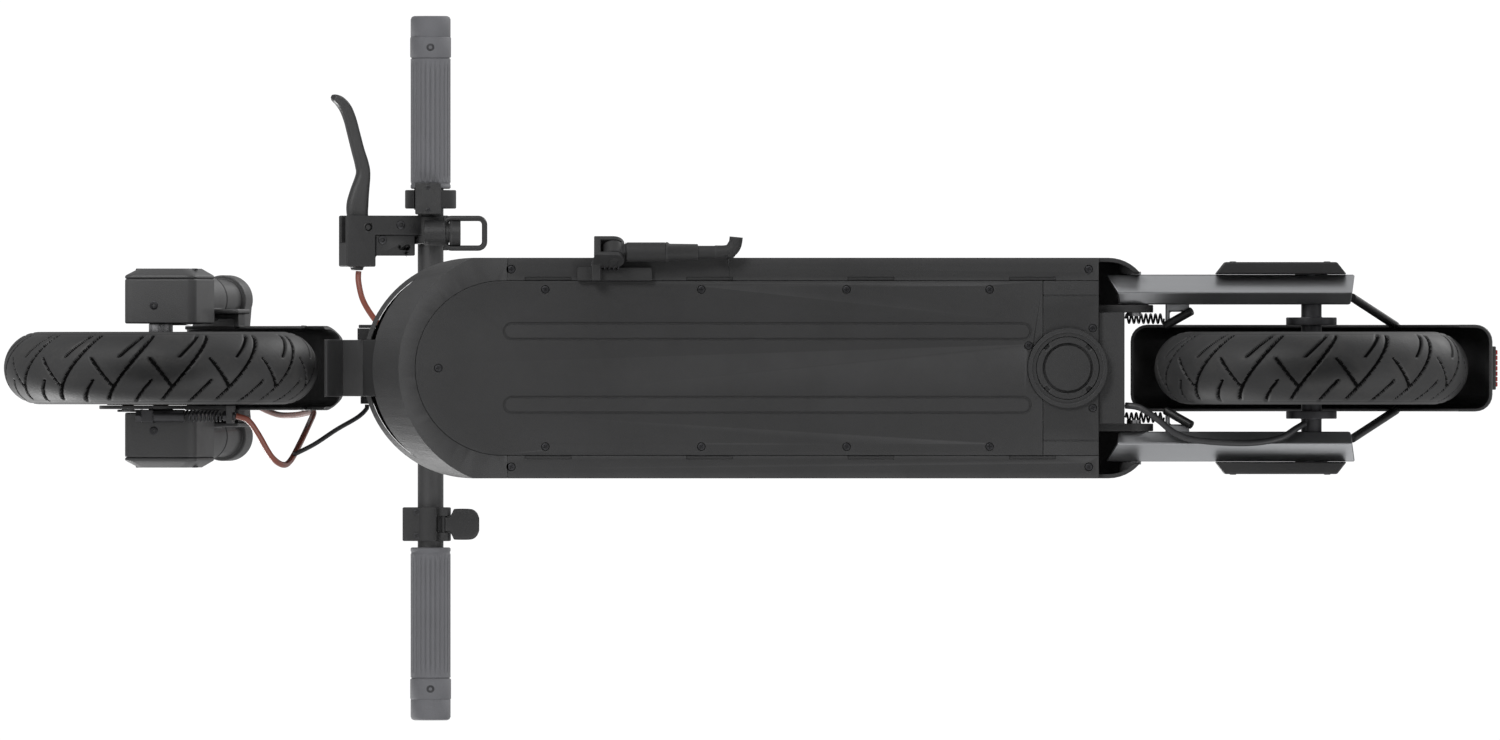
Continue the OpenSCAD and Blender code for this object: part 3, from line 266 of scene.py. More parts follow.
MM = 0.001
HEAD_ANGLE = math.radians(11.5)
FRONT_AXLE = Vector((0.488, 0.0, 0.130))
REAR_AXLE = Vector((-0.465, 0.0, 0.130))
BAR = Vector((0.274375, 0.0, 1.180))
steered = Matrix.Translation(FRONT_AXLE) @ Matrix.Rotation(-HEAD_ANGLE, 4, "Y")
rear_wheel = Matrix.Translation(REAR_AXLE)
at_bar = Matrix.Translation(BAR)
lever_frame = at_bar @ Matrix.Rotation(math.radians(20), 4, "Y")
along_stem = steered @ Matrix.Translation(steered.inverted() @ BAR)


# %% [markdown]
# ## Geometry Nodes: a tree that is built in code
# Whatever repeats or follows a path is grown by Geometry Nodes. A tree gets named inputs, ends in
# Realize Instances and Set Material, and is run once: its result becomes a plain mesh, and the host
# object with the modifier is thrown away.
# %% Build and run a tree
def new_tree(name, sizes):
    tree = bpy.data.node_groups.new(name, "GeometryNodeTree")
    tree.interface.new_socket("Geometry", in_out="INPUT", socket_type="NodeSocketGeometry")
    for label, kind in sizes:
        tree.interface.new_socket(label, in_out="INPUT", socket_type="NodeSocket" + kind)
    tree.interface.new_socket("Geometry", in_out="OUTPUT", socket_type="NodeSocketGeometry")
    return tree, add(tree, "NodeGroupInput").outputs


def end_tree(tree, shape, material):
    soft = add(tree, "GeometryNodeSetShadeSmooth", {"Geometry": shape})
    real = add(tree, "GeometryNodeRealizeInstances", {"Geometry": soft.outputs[0]})
    done = add(tree, "GeometryNodeSetMaterial", {"Geometry": real.outputs[0],
                                                 "Material": material})
    tree.links.new(done.outputs[0], add(tree, "NodeGroupOutput").inputs[0])


def grow(tree, name, sizes, points=(), edges=(), turn=Matrix.Identity(4)):
    host_mesh = bpy.data.meshes.new(name + "_host")
    host_mesh.from_pydata([tuple(p) for p in points], list(edges), [])
    host = bpy.data.objects.new(name + "_host", host_mesh)
    scene.collection.objects.link(host)
    run = host.modifiers.new("Grow", "NODES")
    run.node_group = tree
    for item in tree.interface.items_tree:
        if item.in_out == "INPUT" and item.name in sizes:
            run[item.identifier] = sizes[item.name]
    ready = host.evaluated_get(bpy.context.evaluated_depsgraph_get())
    made = bpy.data.objects.new(name, bpy.data.meshes.new_from_object(ready))
    made.data.name = name
    scene.collection.objects.link(made)
    bpy.data.objects.remove(host)
    return place(made, turn)


# %% [markdown]
# ## Cables
# The four cables are held at both ends, so their routes are fixed: the same points as in the CAD
# source, in metres. The tree turns the points into a Catmull-Rom curve, resamples it evenly and
# sweeps a round section along it, which keeps the bends rounder than the CAD tube's facets.
# %% Sweep the cables
cable_tree, given = new_tree("Cable", [("Radius", "Float"), ("Step", "Float"),
                                       ("Material", "Material")])
line = add(cable_tree, "GeometryNodeMeshToCurve", {"Mesh": given["Geometry"]})
bend = add(cable_tree, "GeometryNodeCurveSplineType", {"Curve": line.outputs[0]},
           spline_type="CATMULL_ROM")
even = add(cable_tree, "GeometryNodeResampleCurve", {"Curve": bend.outputs[0],
           "Length": given["Step"]}, mode="LENGTH")
ring = add(cable_tree, "GeometryNodeCurvePrimitiveCircle", {"Resolution": 16,
                                                            "Radius": given["Radius"]})
sweep = add(cable_tree, "GeometryNodeCurveToMesh", {"Curve": even.outputs[0],
            "Profile Curve": ring.outputs[0], "Fill Caps": True})
end_tree(cable_tree, sweep.outputs[0], given["Material"])
CABLE_STEP = 0.003
ROUTES = {
    "brake_cable_upper": (2.5, [(336, 83, 1158), (336, 74, 1156), (332, 58, 1148),
                                (322, 42, 1133), (311, 30, 1114), (304, 22.5, 1098),
                                (299, 20.5, 1085)]),
    "brake_cable_lower": (2.5, [(416, -29.2, 472), (408, -34, 445), (394, -39, 400),
                                (379, -39, 350), (368, -37, 300), (363, -37, 250),
                                (366, -46, 208), (374, -64, 165), (381, -77, 135),
                                (387, -80, 112), (396, -73, 92), (407, -54, 76),
                                (415, -43, 68.5), (424.6, -39.6, 68)]),
    "harness": (1.9, [(318, -30.4, 208), (318.6, -34, 207.2), (326, -41, 198),
                      (343, -51, 178), (361, -63, 157), (377.5, -71.5, 139)]),
    "motor_cable": (2.7, [(-311, -31, 112), (-323, -33, 108), (-338, -43, 105),
                          (-352, -54, 105), (-372, -60, 105), (-412, -62, 105),
                          (-438, -58, 106), (-452, -50, 111), (-459, -46, 116.5)]),
}


def cable(name, radius, route):
    points = [Vector(p) * MM for p in route]
    joined = [(i, i + 1) for i in range(len(points) - 1)]
    sizes = {"Radius": radius * MM, "Step": CABLE_STEP, "Material": FINISH[finish_name[name]]}
    return grow(cable_tree, name + "_sweep", sizes, points, joined)


for name, (radius, route) in ROUTES.items():
    keep(cable(name, radius, route), name, False, [name])
    print(name, round(sum((Vector(a) - Vector(b)).length for a, b in zip(route, route[1:]))), "mm")

# %% [markdown]
# ## Springs
# Coil springs are a spiral curve swept with a round wire. One tree makes them all: the shoe brake's
# return spring, the fork springs and the two springs of the rear arm.
# %% Wind the springs
spring_tree, given = new_tree("Coil spring", [("Radius", "Float"), ("Wire", "Float"),
                              ("Turns", "Float"), ("Length", "Float"), ("Material", "Material")])
line = add(spring_tree, "GeometryNodeCurveSpiral", {"Resolution": 20, "Height": given["Length"],
           "Rotations": given["Turns"], "Start Radius": given["Radius"],
           "End Radius": given["Radius"]})
ring = add(spring_tree, "GeometryNodeCurvePrimitiveCircle", {"Resolution": 10,
                                                             "Radius": given["Wire"]})
sweep = add(spring_tree, "GeometryNodeCurveToMesh", {"Curve": line.outputs[0],
            "Profile Curve": ring.outputs[0], "Fill Caps": True})
end_tree(spring_tree, sweep.outputs[0], given["Material"])


def spring(name, radius, wire, turns, length, start, heading, beside, instead=()):
    """A coil from start along heading, in millimetres in the frame given by heading's matrix."""
    matrix, axis = heading
    lift = Matrix.Translation(Vector(start) * MM)
    turn = {"X": Matrix.Rotation(math.pi / 2, 4, "Y"), "Z": Matrix.Identity(4)}[axis]
    sizes = {"Radius": radius * MM, "Wire": wire * MM, "Turns": turns,
             "Length": (length - 2 * wire) * MM, "Material": FINISH["steel_screw"]}
    base = Matrix.Translation((0, 0, wire * MM))
    piece = grow(spring_tree, name, sizes, turn=matrix @ lift @ turn @ base)
    keep(piece, beside, False, instead)


spring("brake_return_spring", 4.1, 0.95, 9, 31.4, (-62.7, -39.6, -48), (steered, "X"),
       "brake_spring", ["brake_spring"])
for side, label in ((57, "left"), (-57, "right")):
    spring("fork_spring_" + label, 12, 1.8, 10, 167.2, (-8, side, 20.3), (steered, "Z"),
           "fork_springs", ["fork_springs"])
for side, label in ((41, "left"), (-41, "right")):
    spring("arm_spring_" + label, 3.7, 0.9, 8, 33.7, (-344, side, 150),
           (Matrix.Identity(4), "X"), "rear_springs", ["rear_springs"])
print("springs wound: 5")

# %% [markdown]
# ## Edges that catch the light
# A CAD edge is perfectly sharp, and a real one never is. The node's mesh is loose triangles, so a copy
# is merged and its flat faces are joined first. A Bevel modifier then rounds every sharp edge, and the
# modifier is applied, so that the rounding is in the mesh itself.
# %% Round the edges of a copy
def rounded(node, width, segments=2, angle=38, material=None):
    work = bmesh.new()
    work.from_mesh(nodes[node].data)
    bmesh.ops.remove_doubles(work, verts=work.verts, dist=3e-6)
    bmesh.ops.dissolve_limit(work, angle_limit=math.radians(1.0), verts=work.verts,
                             edges=work.edges)
    mesh = bpy.data.meshes.new("soft_" + node)
    work.to_mesh(mesh)
    work.free()
    host = bpy.data.objects.new("host", mesh)
    scene.collection.objects.link(host)
    bevel = host.modifiers.new("Edge", "BEVEL")
    bevel.width, bevel.segments = width * MM, segments
    bevel.limit_method, bevel.angle_limit = "ANGLE", math.radians(angle)
    bevel.use_clamp_overlap, bevel.miter_outer = False, "MITER_SHARP"
    ready = host.evaluated_get(bpy.context.evaluated_depsgraph_get())
    made = bpy.data.objects.new("soft_" + node, bpy.data.meshes.new_from_object(ready))
    scene.collection.objects.link(made)
    bpy.data.objects.remove(host)
    made.data.polygons.foreach_set("use_smooth", [True] * len(made.data.polygons))
    made.data.set_sharp_from_angle(angle=math.radians(32))
    made.modifiers.new("Normals", "WEIGHTED_NORMAL").keep_sharp = True
    keep(made, node, material, [node])


EDGES = {
    0.5: "service_panel battery_cover charge_port charge_cap brake_plate brake_adjuster display",
    0.7: "frame rear_plate kickstand_base hinge_base brake_arm front_rim front_fender "
         "rear_fender rear_axle front_axle power_button headlight",
    1.0: "service_cap stem_tube stem_head throttle_body switch_pod fold_latch motor_hub",
    1.4: "fork_lowers lever_housing rear_arms kickstand axle_caps arm_covers",
}
OTHER_FINISH = {"fork_lowers": POD_PAINT, "axle_caps": POD_PAINT, "brake_arm": DARK_STEEL,
                "brake_adjuster": DARK_STEEL, "lever_housing": FINISH["black_plastic"]}
for width, names in EDGES.items():
    for node in names.split():
        rounded(node, width, 3 if width > 1 else 2, material=OTHER_FINISH.get(node))
print("nodes with rounded edges:", sum(len(names.split()) for names in EDGES.values()))

# %% [markdown]
# ## Tyres
# The tread follows a rule, so the tyre is one grid of points: round the wheel, and across the section.
# Long diagonal grooves run over one side and turn back in a zig-zag, and short slanted sipes fill the
# other shoulder. A point that lies in a groove is pulled towards the middle of the section, so the
# grooves are real geometry, and its face is also given a near-black material: painted shade, the shadow
# that falls inside a groove.
# Fine rings mark the sidewalls.
# %% The tread rule
TYRE_MID, TYRE_R, BEAD_R = 100.0, 30.0, 82.0
TYRE_OUT = TYRE_MID + TYRE_R
GROOVE_DEPTH, RING_DEPTH = 2.4, 0.45
RING_ANGLES = (66, 78, 96, 112)
BLOCKS, STEPS_A_BLOCK, STEPS_ACROSS = 16, 48, 92
PITCH = 2 * math.pi * TYRE_OUT / BLOCKS


def soft_step(low, high, x):
    t = np.clip((x - low) / (high - low), 0, 1)
    return t * t * (3 - 2 * t)


def groove(s, y, start, slope, low, high, half):
    """Depth from 0 to 1 of slanted grooves that cross the section between low and high."""
    off = np.abs((s - start - slope * y + PITCH / 2) % PITCH - PITCH / 2) / math.hypot(1, slope)
    ends = soft_step(low - 0.6, low + 0.6, y) * (1 - soft_step(high - 0.6, high + 0.6, y))
    return (1 - soft_step(half - 0.35, half + 0.45, off)) * ends


# Where a groove starts round the wheel, its slant, its two ends across, and half its width
GROOVES = [(0.0, -0.8, -26.0, 27.0, 1.15), (-25.6, 0.78, -16.5, 8.5, 1.15),
           (-33.4, -1.1, 9.0, 27.5, 1.0), (-29.5, -0.9, -27.5, -9.5, 1.0)]


def tyre(name, turn, node):
    around, across = BLOCKS * STEPS_A_BLOCK, STEPS_ACROSS
    edge = math.acos((BEAD_R - TYRE_MID) / TYRE_R)
    bend = np.linspace(-1, 1, across)
    phi = edge * (0.72 * bend + 0.28 * bend ** 3)
    theta = np.linspace(0, 2 * math.pi, around, endpoint=False)
    th, ph = np.meshgrid(theta, phi, indexing="ij")
    s, y = th * TYRE_OUT, TYRE_R * np.sin(ph)
    cut = np.maximum.reduce([groove(s, y, *rule) for rule in GROOVES]) * (np.cos(ph) > 0)
    rings = sum(np.exp(-((np.degrees(np.abs(ph)) - a) / 1.1) ** 2) for a in RING_ANGLES)
    r = TYRE_R - GROOVE_DEPTH * cut - RING_DEPTH * rings * (np.abs(ph) > 1.0)
    radius, side = TYRE_MID + r * np.cos(ph), r * np.sin(ph)
    points = np.stack([radius * np.cos(th), side, radius * np.sin(th)], -1).reshape(-1, 3) * MM
    a = np.arange(around)[:, None] * across
    b = (np.arange(around)[:, None] + 1) % around * across
    k = np.arange(across - 1)[None, :]
    faces = np.stack([a + k, b + k, b + k + 1, a + k + 1], -1).reshape(-1, 4)
    bead = np.stack([a[:, 0] + across - 1, b[:, 0] + across - 1, b[:, 0], a[:, 0]], -1)
    piece = place(mesh_object(name, points, np.concatenate([faces, bead])), turn)
    work = bmesh.new()
    work.from_mesh(piece.data)
    bmesh.ops.recalc_face_normals(work, faces=work.faces)
    work.to_mesh(piece.data)
    work.free()
    keep(piece, node, None, [node])
    piece.data.materials.append(PAINTED_GROOVE_SHADE)
    # Faces deep in a groove take the second slot, the near-black painted groove shade
    beside = cut[:, :-1] + cut[:, 1:]
    groove_shade_faces = (beside + np.roll(beside, -1, 0)) / 4 > 0.4
    piece.data.polygons.foreach_set("material_index", [int(d) for d in groove_shade_faces.ravel()] + [0] * around)


tyre("front_tyre_tread", steered, "front_tyre")
tyre("rear_tyre_tread", rear_wheel, "rear_tyre")
print("tread blocks round each tyre:", BLOCKS)


# %% [markdown]
# ## Turned parts
# Grips, bellows, seals and knurled barrels are turned: a profile of distance and radius goes round an
# axis. A ripple can change the radius round the turn, which makes flutes and knurls.
# %% Turn a profile
def turned(name, profile, steps, axis="Y", ripple=None, turn=Matrix.Identity(4)):
    """profile is a closed list of (along, radius) in millimetres, from one end to the other."""
    profile = np.array(profile, float)
    angle = np.linspace(0, 2 * math.pi, steps, endpoint=False)
    along = np.repeat(profile[None, :, 0], steps, 0)
    radius = np.repeat(profile[None, :, 1], steps, 0)
    around = np.repeat(angle[:, None], len(profile), 1)
    if ripple:
        radius = radius - ripple(around, along) * (radius > 0.5)
    c, s = radius * np.cos(around), radius * np.sin(around)
    order = {"X": (along, c, s), "Y": (s, along, c), "Z": (c, s, along)}[axis]
    points = np.stack(order, -1).reshape(-1, 3) * MM
    n = len(profile)
    faces = [(i * n + k, i * n + (k + 1) % n, (i + 1) % steps * n + (k + 1) % n,
              (i + 1) % steps * n + k) for i in range(steps) for k in range(n)]
    piece = mesh_object(name, points, faces)
    work = bmesh.new()
    work.from_mesh(piece.data)
    bmesh.ops.remove_doubles(work, verts=work.verts, dist=1e-6)
    bmesh.ops.dissolve_degenerate(work, dist=1e-6, edges=work.edges)
    bmesh.ops.recalc_face_normals(work, faces=work.faces)
    work.to_mesh(piece.data)
    work.free()
    piece.data.set_sharp_from_angle(angle=math.radians(40))
    return place(piece, turn)


# %% [markdown]
# ## Grips
# The grey grips are rubber sleeves with lengthwise flutes, a raised collar at the inner end, and a
# plain end cap with a step. The flutes fade out before the collar and the cap.
# %% Two fluted grips
GRIP_IN, GRIP_OUT = 154.0, 302.5
FLUTES_END, FLUTE_DEPTH, FLUTES = 264, 0.95, 24


def flutes(around, along):
    away = np.abs(along)
    span = soft_step(GRIP_IN + 6, GRIP_IN + 10, away)
    span = span * (1 - soft_step(FLUTES_END - 4, FLUTES_END, away))
    return FLUTE_DEPTH * span * np.maximum(0, np.cos(FLUTES * around)) ** 2


def grip_profile(side):
    plain = [(GRIP_IN, 11.3), (GRIP_IN, 16.2), (GRIP_IN + 0.8, 17.2), (GRIP_IN + 3, 17.2),
             (GRIP_IN + 3.8, 16.7), (GRIP_IN + 5, 16.7), (GRIP_IN + 5.6, 17.2)]
    plain += [(a, 17.2) for a in np.linspace(GRIP_IN + 8, FLUTES_END, 34)]
    plain += [(265.6, 17.2), (265.9, 16.4), (266.6, 16.4), (266.9, 17.3), (267.6, 17.6),
              (283.6, 17.6), (284.3, 17.2), (284.6, 16.9), (285.0, 17.2), (299.5, 17.2),
              (301.6, 16.2), (GRIP_OUT, 14.2), (GRIP_OUT, 6.0), (301.9, 5.4), (301.9, 0.0),
              (296.6, 0.0), (296.6, 11.3)]
    return [(side * a, r) for a, r in plain]


for side, label in ((1, "left"), (-1, "right")):
    grip = turned("grip_" + label, grip_profile(side), 192, "Y", flutes, at_bar)
    keep(grip, "grips", None, ["grips"])
print("grip length", GRIP_OUT - GRIP_IN, "mm")

# %% [markdown]
# ## Bell barrel, seals and rings
# The bell is a knurled barrel with a groove; the knurl is two crossing ripples. The fork legs get
# rubber wipers, and the head tube gets the thin race covers that sit at its ends.
# %% Small turned pieces
def knurl(around, along):
    return 0.35 * np.abs(np.sin(16 * around + 0.8 * along) * np.sin(16 * around - 0.8 * along))


barrel = [(-25.6, 0), (-25.6, 8.4), (-24.6, 9.9), (-17.6, 10.9), (-16.6, 9.6), (-16.4, 8.2),
          (-12.8, 8.2), (-12.4, 9.6)]
barrel += [(a, 10.9) for a in np.linspace(-11.4, 3.0, 19)]
barrel += [(4.2, 9.8), (5.0, 8.4), (5.0, 3.4), (3.2, 3.2), (3.2, 0)]
bell = turned("bell_barrel", barrel, 96, "X", lambda a, x: knurl(a, x) * (x > -11.5) * (x < 3.1),
              at_bar @ Matrix.Translation((0, 0.116, -0.028)))
keep(bell, "bell_body", FINISH["black_plastic"])
rounded("bell_body", 0.4)
rounded("handlebar", 0.3)
rounded("fork_crown", 1.2)


def wiper(name, y, beside):
    ring_profile = [(125.1, 17.3), (125.1, 20.6), (127.6, 20.9), (129.4, 20.2), (130.6, 18.9),
                    (132.4, 18.4), (133.0, 17.5), (131.0, 17.3)]
    piece = turned(name, ring_profile, 64, "Z", None,
                   steered @ Matrix.Translation((-0.008, y * MM, 0)))
    keep(piece, beside, FINISH["rubber_mat"])


wiper("wiper_left", 57, "fork_lowers")
wiper("wiper_right", -57, "fork_lowers")
RACES = {"race_low": [(238.4, 21.6), (238.4, 24.2), (238.7, 24.6), (239.6, 24.6), (239.9, 24.2),
                      (239.9, 21.6)],
         "race_high": [(336.85, 23.6), (336.85, 24.4), (339.85, 24.6), (340.15, 24.0),
                       (340.15, 23.6)]}
for name, cover in RACES.items():
    keep(turned(name, cover, 72, "Z", None, steered), "frame", FINISH["steel"])
print("turned pieces: bell, two wipers, two race covers")

# %% [markdown]
# ## Lever blade, bell hook and throttle paddle
# The lever is a cast blade that narrows, bends outwards and ends in a rounded tip. It is lofted: at
# each station along its middle line a rounded section has its own width. The hook of the bell is a
# closed loop of the same kind, and the throttle's paddle a short, wide one, so one helper makes all.
# %% Loft a rounded section along a path
def lofted(name, stations, thick, closed=False, matrix=Matrix.Identity(4), sides=20, power=2.6):
    """stations are (x, y, z, half width); the path lies across Z, and thick is half its height."""
    path = np.array([st[:3] for st in stations], float)
    half = np.array([st[3] for st in stations], float)
    thin = np.broadcast_to(np.array(thick, float), half.shape)
    if closed:
        ahead = np.roll(path, -1, 0) - np.roll(path, 1, 0)
    else:
        ahead = np.gradient(path, axis=0)
    ahead /= np.linalg.norm(ahead, axis=1)[:, None]
    side = np.stack([-ahead[:, 1], ahead[:, 0], np.zeros(len(path))], -1)
    a = np.linspace(0, 2 * math.pi, sides, endpoint=False)
    cu = np.sign(np.cos(a)) * np.abs(np.cos(a)) ** (2 / power)
    cv = np.sign(np.sin(a)) * np.abs(np.sin(a)) ** (2 / power)
    points = (path[:, None] + side[:, None] * (half[:, None] * cu)[..., None]
              + np.array([0, 0, 1.0]) * (thin[:, None] * cv)[..., None]).reshape(-1, 3) * MM
    n, rows = len(path), len(path) if closed else len(path) - 1
    faces = [(i * sides + k, (i + 1) % n * sides + k, (i + 1) % n * sides + (k + 1) % sides,
              i * sides + (k + 1) % sides) for i in range(rows) for k in range(sides)]
    if not closed:
        faces += [tuple(range(sides)), tuple((n - 1) * sides + k for k in range(sides))]
    piece = mesh_object(name, points, faces)
    work = bmesh.new()
    work.from_mesh(piece.data)
    bmesh.ops.recalc_face_normals(work, faces=work.faces)
    work.to_mesh(piece.data)
    work.free()
    piece.data.set_sharp_from_angle(angle=math.radians(55))
    return place(piece, matrix)


def eased(stations, steps):
    """The stations with Catmull-Rom values between them, steps to each stretch."""
    p = np.array(stations, float)
    p = np.concatenate([2 * p[:1] - p[1:2], p, 2 * p[-1:] - p[-2:-1]])
    out = []
    for i in range(1, len(p) - 2):
        for t in np.linspace(0, 1, steps, endpoint=False):
            a, b, c, d = p[i - 1:i + 3]
            out.append(0.5 * (2 * b + t * (c - a) + t * t * (2 * a - 5 * b + 4 * c - d)
                              + t ** 3 * (3 * b - a - 3 * c + d)))
    return out + [p[-2]]


PIVOT_X, PIVOT_Y = 60.7, 121.0
BLADE = [(1, -7, 5.0), (2, -3, 7.4), (4.5, 5, 8.6), (6, 12, 9.4), (5.8, 20, 9.6), (4.0, 30, 8.4),
         (0.8, 45, 6.2), (1.9, 54, 5.9), (5.5, 66, 5.5), (9.0, 79, 5.4), (12.6, 92, 5.3),
         (16.6, 101.5, 5.2), (21.5, 107.6, 4.6), (26.4, 110.8, 3.4), (29.4, 112.2, 1.6)]
blade = [(PIVOT_X + x, PIVOT_Y + y, 0, w) for x, y, w in BLADE]
blade = eased(blade, 5)
flat = [5.6 * min(1.0, 0.25 + 0.2 * min(i, len(blade) - 1 - i)) for i in range(len(blade))]
keep(lofted("lever_blade", blade, flat, False, lever_frame), "brake_lever", None,
     ["brake_lever"])


def loop_path(x0, x1, y0, y1, r, half, steps=8):
    corners = ((x1 - r, y1 - r, 0), (x0 + r, y1 - r, 90), (x0 + r, y0 + r, 180),
               (x1 - r, y0 + r, 270))
    return [(x + r * math.cos(math.radians(a)), y + r * math.sin(math.radians(a)), 0, half)
            for x, y, start in corners for a in np.linspace(start, start + 90, steps)]


hook = loop_path(-46.6, -12.6, 103.0, 128.5, 5.5, 2.35)
keep(lofted("bell_hook_loop", hook, 2.45, True, at_bar @ Matrix.Translation((0, 0, -0.028))),
     "bell_hook", None, ["bell_hook"])
THROTTLE_X, THROTTLE_Y, PADDLE_Z = -12, -134, -22
PADDLE = [(-1, 6.4), (-4.5, 6.6), (-6.6, 9.6), (-8, 12.6), (-10, 13.3), (-21, 13.3), (-25.5, 12.2),
          (-28.4, 9.4), (-30, 5.4)]
paddle = [(THROTTLE_X + x, THROTTLE_Y, 0, w) for x, w in PADDLE]
keep(lofted("throttle_paddle", eased(paddle, 4), 2.9, False,
            at_bar @ Matrix.Translation((0, 0, PADDLE_Z * MM)), power=4.5),
     "throttle_lever", None, ["throttle_lever"])
print("lever blade stations:", len(blade))

# %% [markdown]
# ## Screws
# One screw head is modelled, domed with a cross recess or a hexagon socket, and Geometry Nodes put a
# copy at every point of a list, turned to face the way that list faces.
# %% A head, and a tree that repeats it
def screw_head(name, radius, rise, recess):
    """A domed head that faces +Z, with its rim at z = 0 and a recess of the given outline."""
    work = bmesh.new()

    def loop(points):
        return [work.verts.new(Vector(p) * MM) for p in points]

    def round_loop(r, z, n=24):
        return loop([(r * math.cos(2 * math.pi * i / n), r * math.sin(2 * math.pi * i / n), z)
                     for i in range(n)])

    skirt, rim = round_loop(radius, -1.2), round_loop(radius, 0)
    dome, flat = round_loop(radius * 0.93, rise * 0.6), round_loop(radius * 0.72, rise)
    mouth = loop([(x, y, rise) for x, y in recess])
    floor = loop([(x * 0.86, y * 0.86, rise - radius * 0.45) for x, y in recess])
    for a, b in ((skirt, rim), (rim, dome), (dome, flat), (mouth, floor)):
        for i in range(len(a)):
            j = (i + 1) % len(a)
            work.faces.new((a[i], a[j], b[j], b[i]))
    work.faces.new(floor)
    work.faces.new(list(reversed(skirt)))
    edges = [work.edges.get((l[i], l[(i + 1) % len(l)])) for l in (flat, mouth)
             for i in range(len(l))]
    bmesh.ops.triangle_fill(work, use_beauty=True, edges=[e for e in edges if e])
    bmesh.ops.recalc_face_normals(work, faces=work.faces)
    mesh = bpy.data.meshes.new(name)
    work.to_mesh(mesh)
    work.free()
    return mesh


def cross(reach, half):
    quarter = [(reach, -half), (reach, half), (half, half)]
    return [(x * c - y * s, x * s + y * c) for c, s in ((1, 0), (0, 1), (-1, 0), (0, -1))
            for x, y in quarter]


def hexagon(r):
    return [(r * math.cos(math.pi / 3 * i), r * math.sin(math.pi / 3 * i)) for i in range(6)]


screw_tree, given = new_tree("Screws", [("Head", "Object"), ("Tilt", "Rotation"),
                                        ("Spin", "Float"), ("Material", "Material")])
head = add(screw_tree, "GeometryNodeObjectInfo", {"Object": given["Head"]})
index = add(screw_tree, "GeometryNodeInputIndex")
swing = add(screw_tree, "ShaderNodeMath", {0: index.outputs[0], 1: given["Spin"]},
            operation="MULTIPLY")
about = add(screw_tree, "ShaderNodeCombineXYZ", {"Z": swing.outputs[0]})
own = add(screw_tree, "FunctionNodeEulerToRotation", {0: about.outputs[0]})
facing = add(screw_tree, "FunctionNodeRotateRotation", {0: given["Tilt"], 1: own.outputs[0]},
             rotation_space="LOCAL")
dots = add(screw_tree, "GeometryNodeMeshToPoints", {"Mesh": given["Geometry"]})
copies = add(screw_tree, "GeometryNodeInstanceOnPoints", {"Points": dots.outputs[0],
             "Instance": head.outputs["Geometry"], "Rotation": facing.outputs[0]})
end_tree(screw_tree, copies.outputs[0], given["Material"])
FACING = {"-Z": (math.pi, 0, 0), "+Z": (0, 0, 0), "+Y": (-math.pi / 2, 0, 0),
          "-Y": (math.pi / 2, 0, 0), "-X": (0, -math.pi / 2, 0)}


def screws(name, spots, facing, beside, size=(3.1, 0.5, "cross"), matrix=Matrix.Identity(4),
           instead=(), material="steel_screw"):
    radius, rise, kind = size
    outline = cross(radius * 0.56, radius * 0.14) if kind == "cross" else hexagon(radius * 0.5)
    head_object = bpy.data.objects.new("head", screw_head("head", radius, rise, outline))
    scene.collection.objects.link(head_object)
    sizes = {"Head": head_object, "Tilt": FACING[facing], "Spin": 0.61,
             "Material": FINISH[material]}
    made = grow(screw_tree, name, sizes, [Vector(p) * MM for p in spots], (), matrix)
    bpy.data.objects.remove(head_object)
    made.data.set_sharp_from_angle(angle=math.radians(35))
    keep(made, beside, False, instead)


COVER_REAR, COVER_SPAN, COVER_Z = -198.3, 367.6, 100.5
COVER_X = [COVER_REAR + s * COVER_SPAN for s in (0, 0.322, 0.649, 1)]
DECK_SPOTS = [(x, side * 65, COVER_Z) for x in COVER_X for side in (-1, 1)]
DECK_SPOTS += [(257.9, 0, COVER_Z), (-230.6, 18.6, COVER_Z), (-283.6, 33, COVER_Z),
               (-283.6, -33, COVER_Z)]
DECK_SPOTS += [(x, side * 81.75, COVER_Z) for x in (197.5, -280.3) for side in (-1, 1)]
screws("deck_screw_heads", DECK_SPOTS, "-Z", "deck_screws", instead=["deck_screws"])
print("deck screws:", len(DECK_SPOTS))

# %% [markdown]
# ## Kickstand foot
# The leg of the kickstand bends outwards at its end into a short rubber-tipped foot. The cable tree
# sweeps it, with a thicker section, a turned sleeve covers the joint in the leg, and a small spring
# sits beside the hinge.
# %% Foot, sleeve and spring
STAND = Matrix.Translation((0.113, 0.096, 0.091))
FOOT = [(-84, 0, 0), (-92, 0.1, 0), (-97.5, 1.6, 0), (-100.3, 5.4, 0), (-101.2, 9, 0),
        (-101.6, 12.4, 0)]
joined = [(i, i + 1) for i in range(len(FOOT) - 1)]
foot = grow(cable_tree, "kickstand_foot", {"Radius": 0.0055, "Step": 0.0012,
            "Material": FINISH["deck_paint"]}, [Vector(p) * MM for p in FOOT], joined, STAND)
keep(foot, "kickstand", False)
sleeve = [(-70, 5.3), (-70, 6.2), (-69.2, 6.6), (-46.5, 6.9), (-45, 8.15), (-43.5, 8.3),
          (-43.5, 5.3)]
keep(turned("kickstand_sleeve", sleeve, 48, "X", None, STAND), "kickstand")
spring("kickstand_spring", 3.2, 0.7, 6, 24, (108, 84.5, 93.2), (Matrix.Identity(4), "X"),
       "kickstand_base")
print("kickstand foot swept")

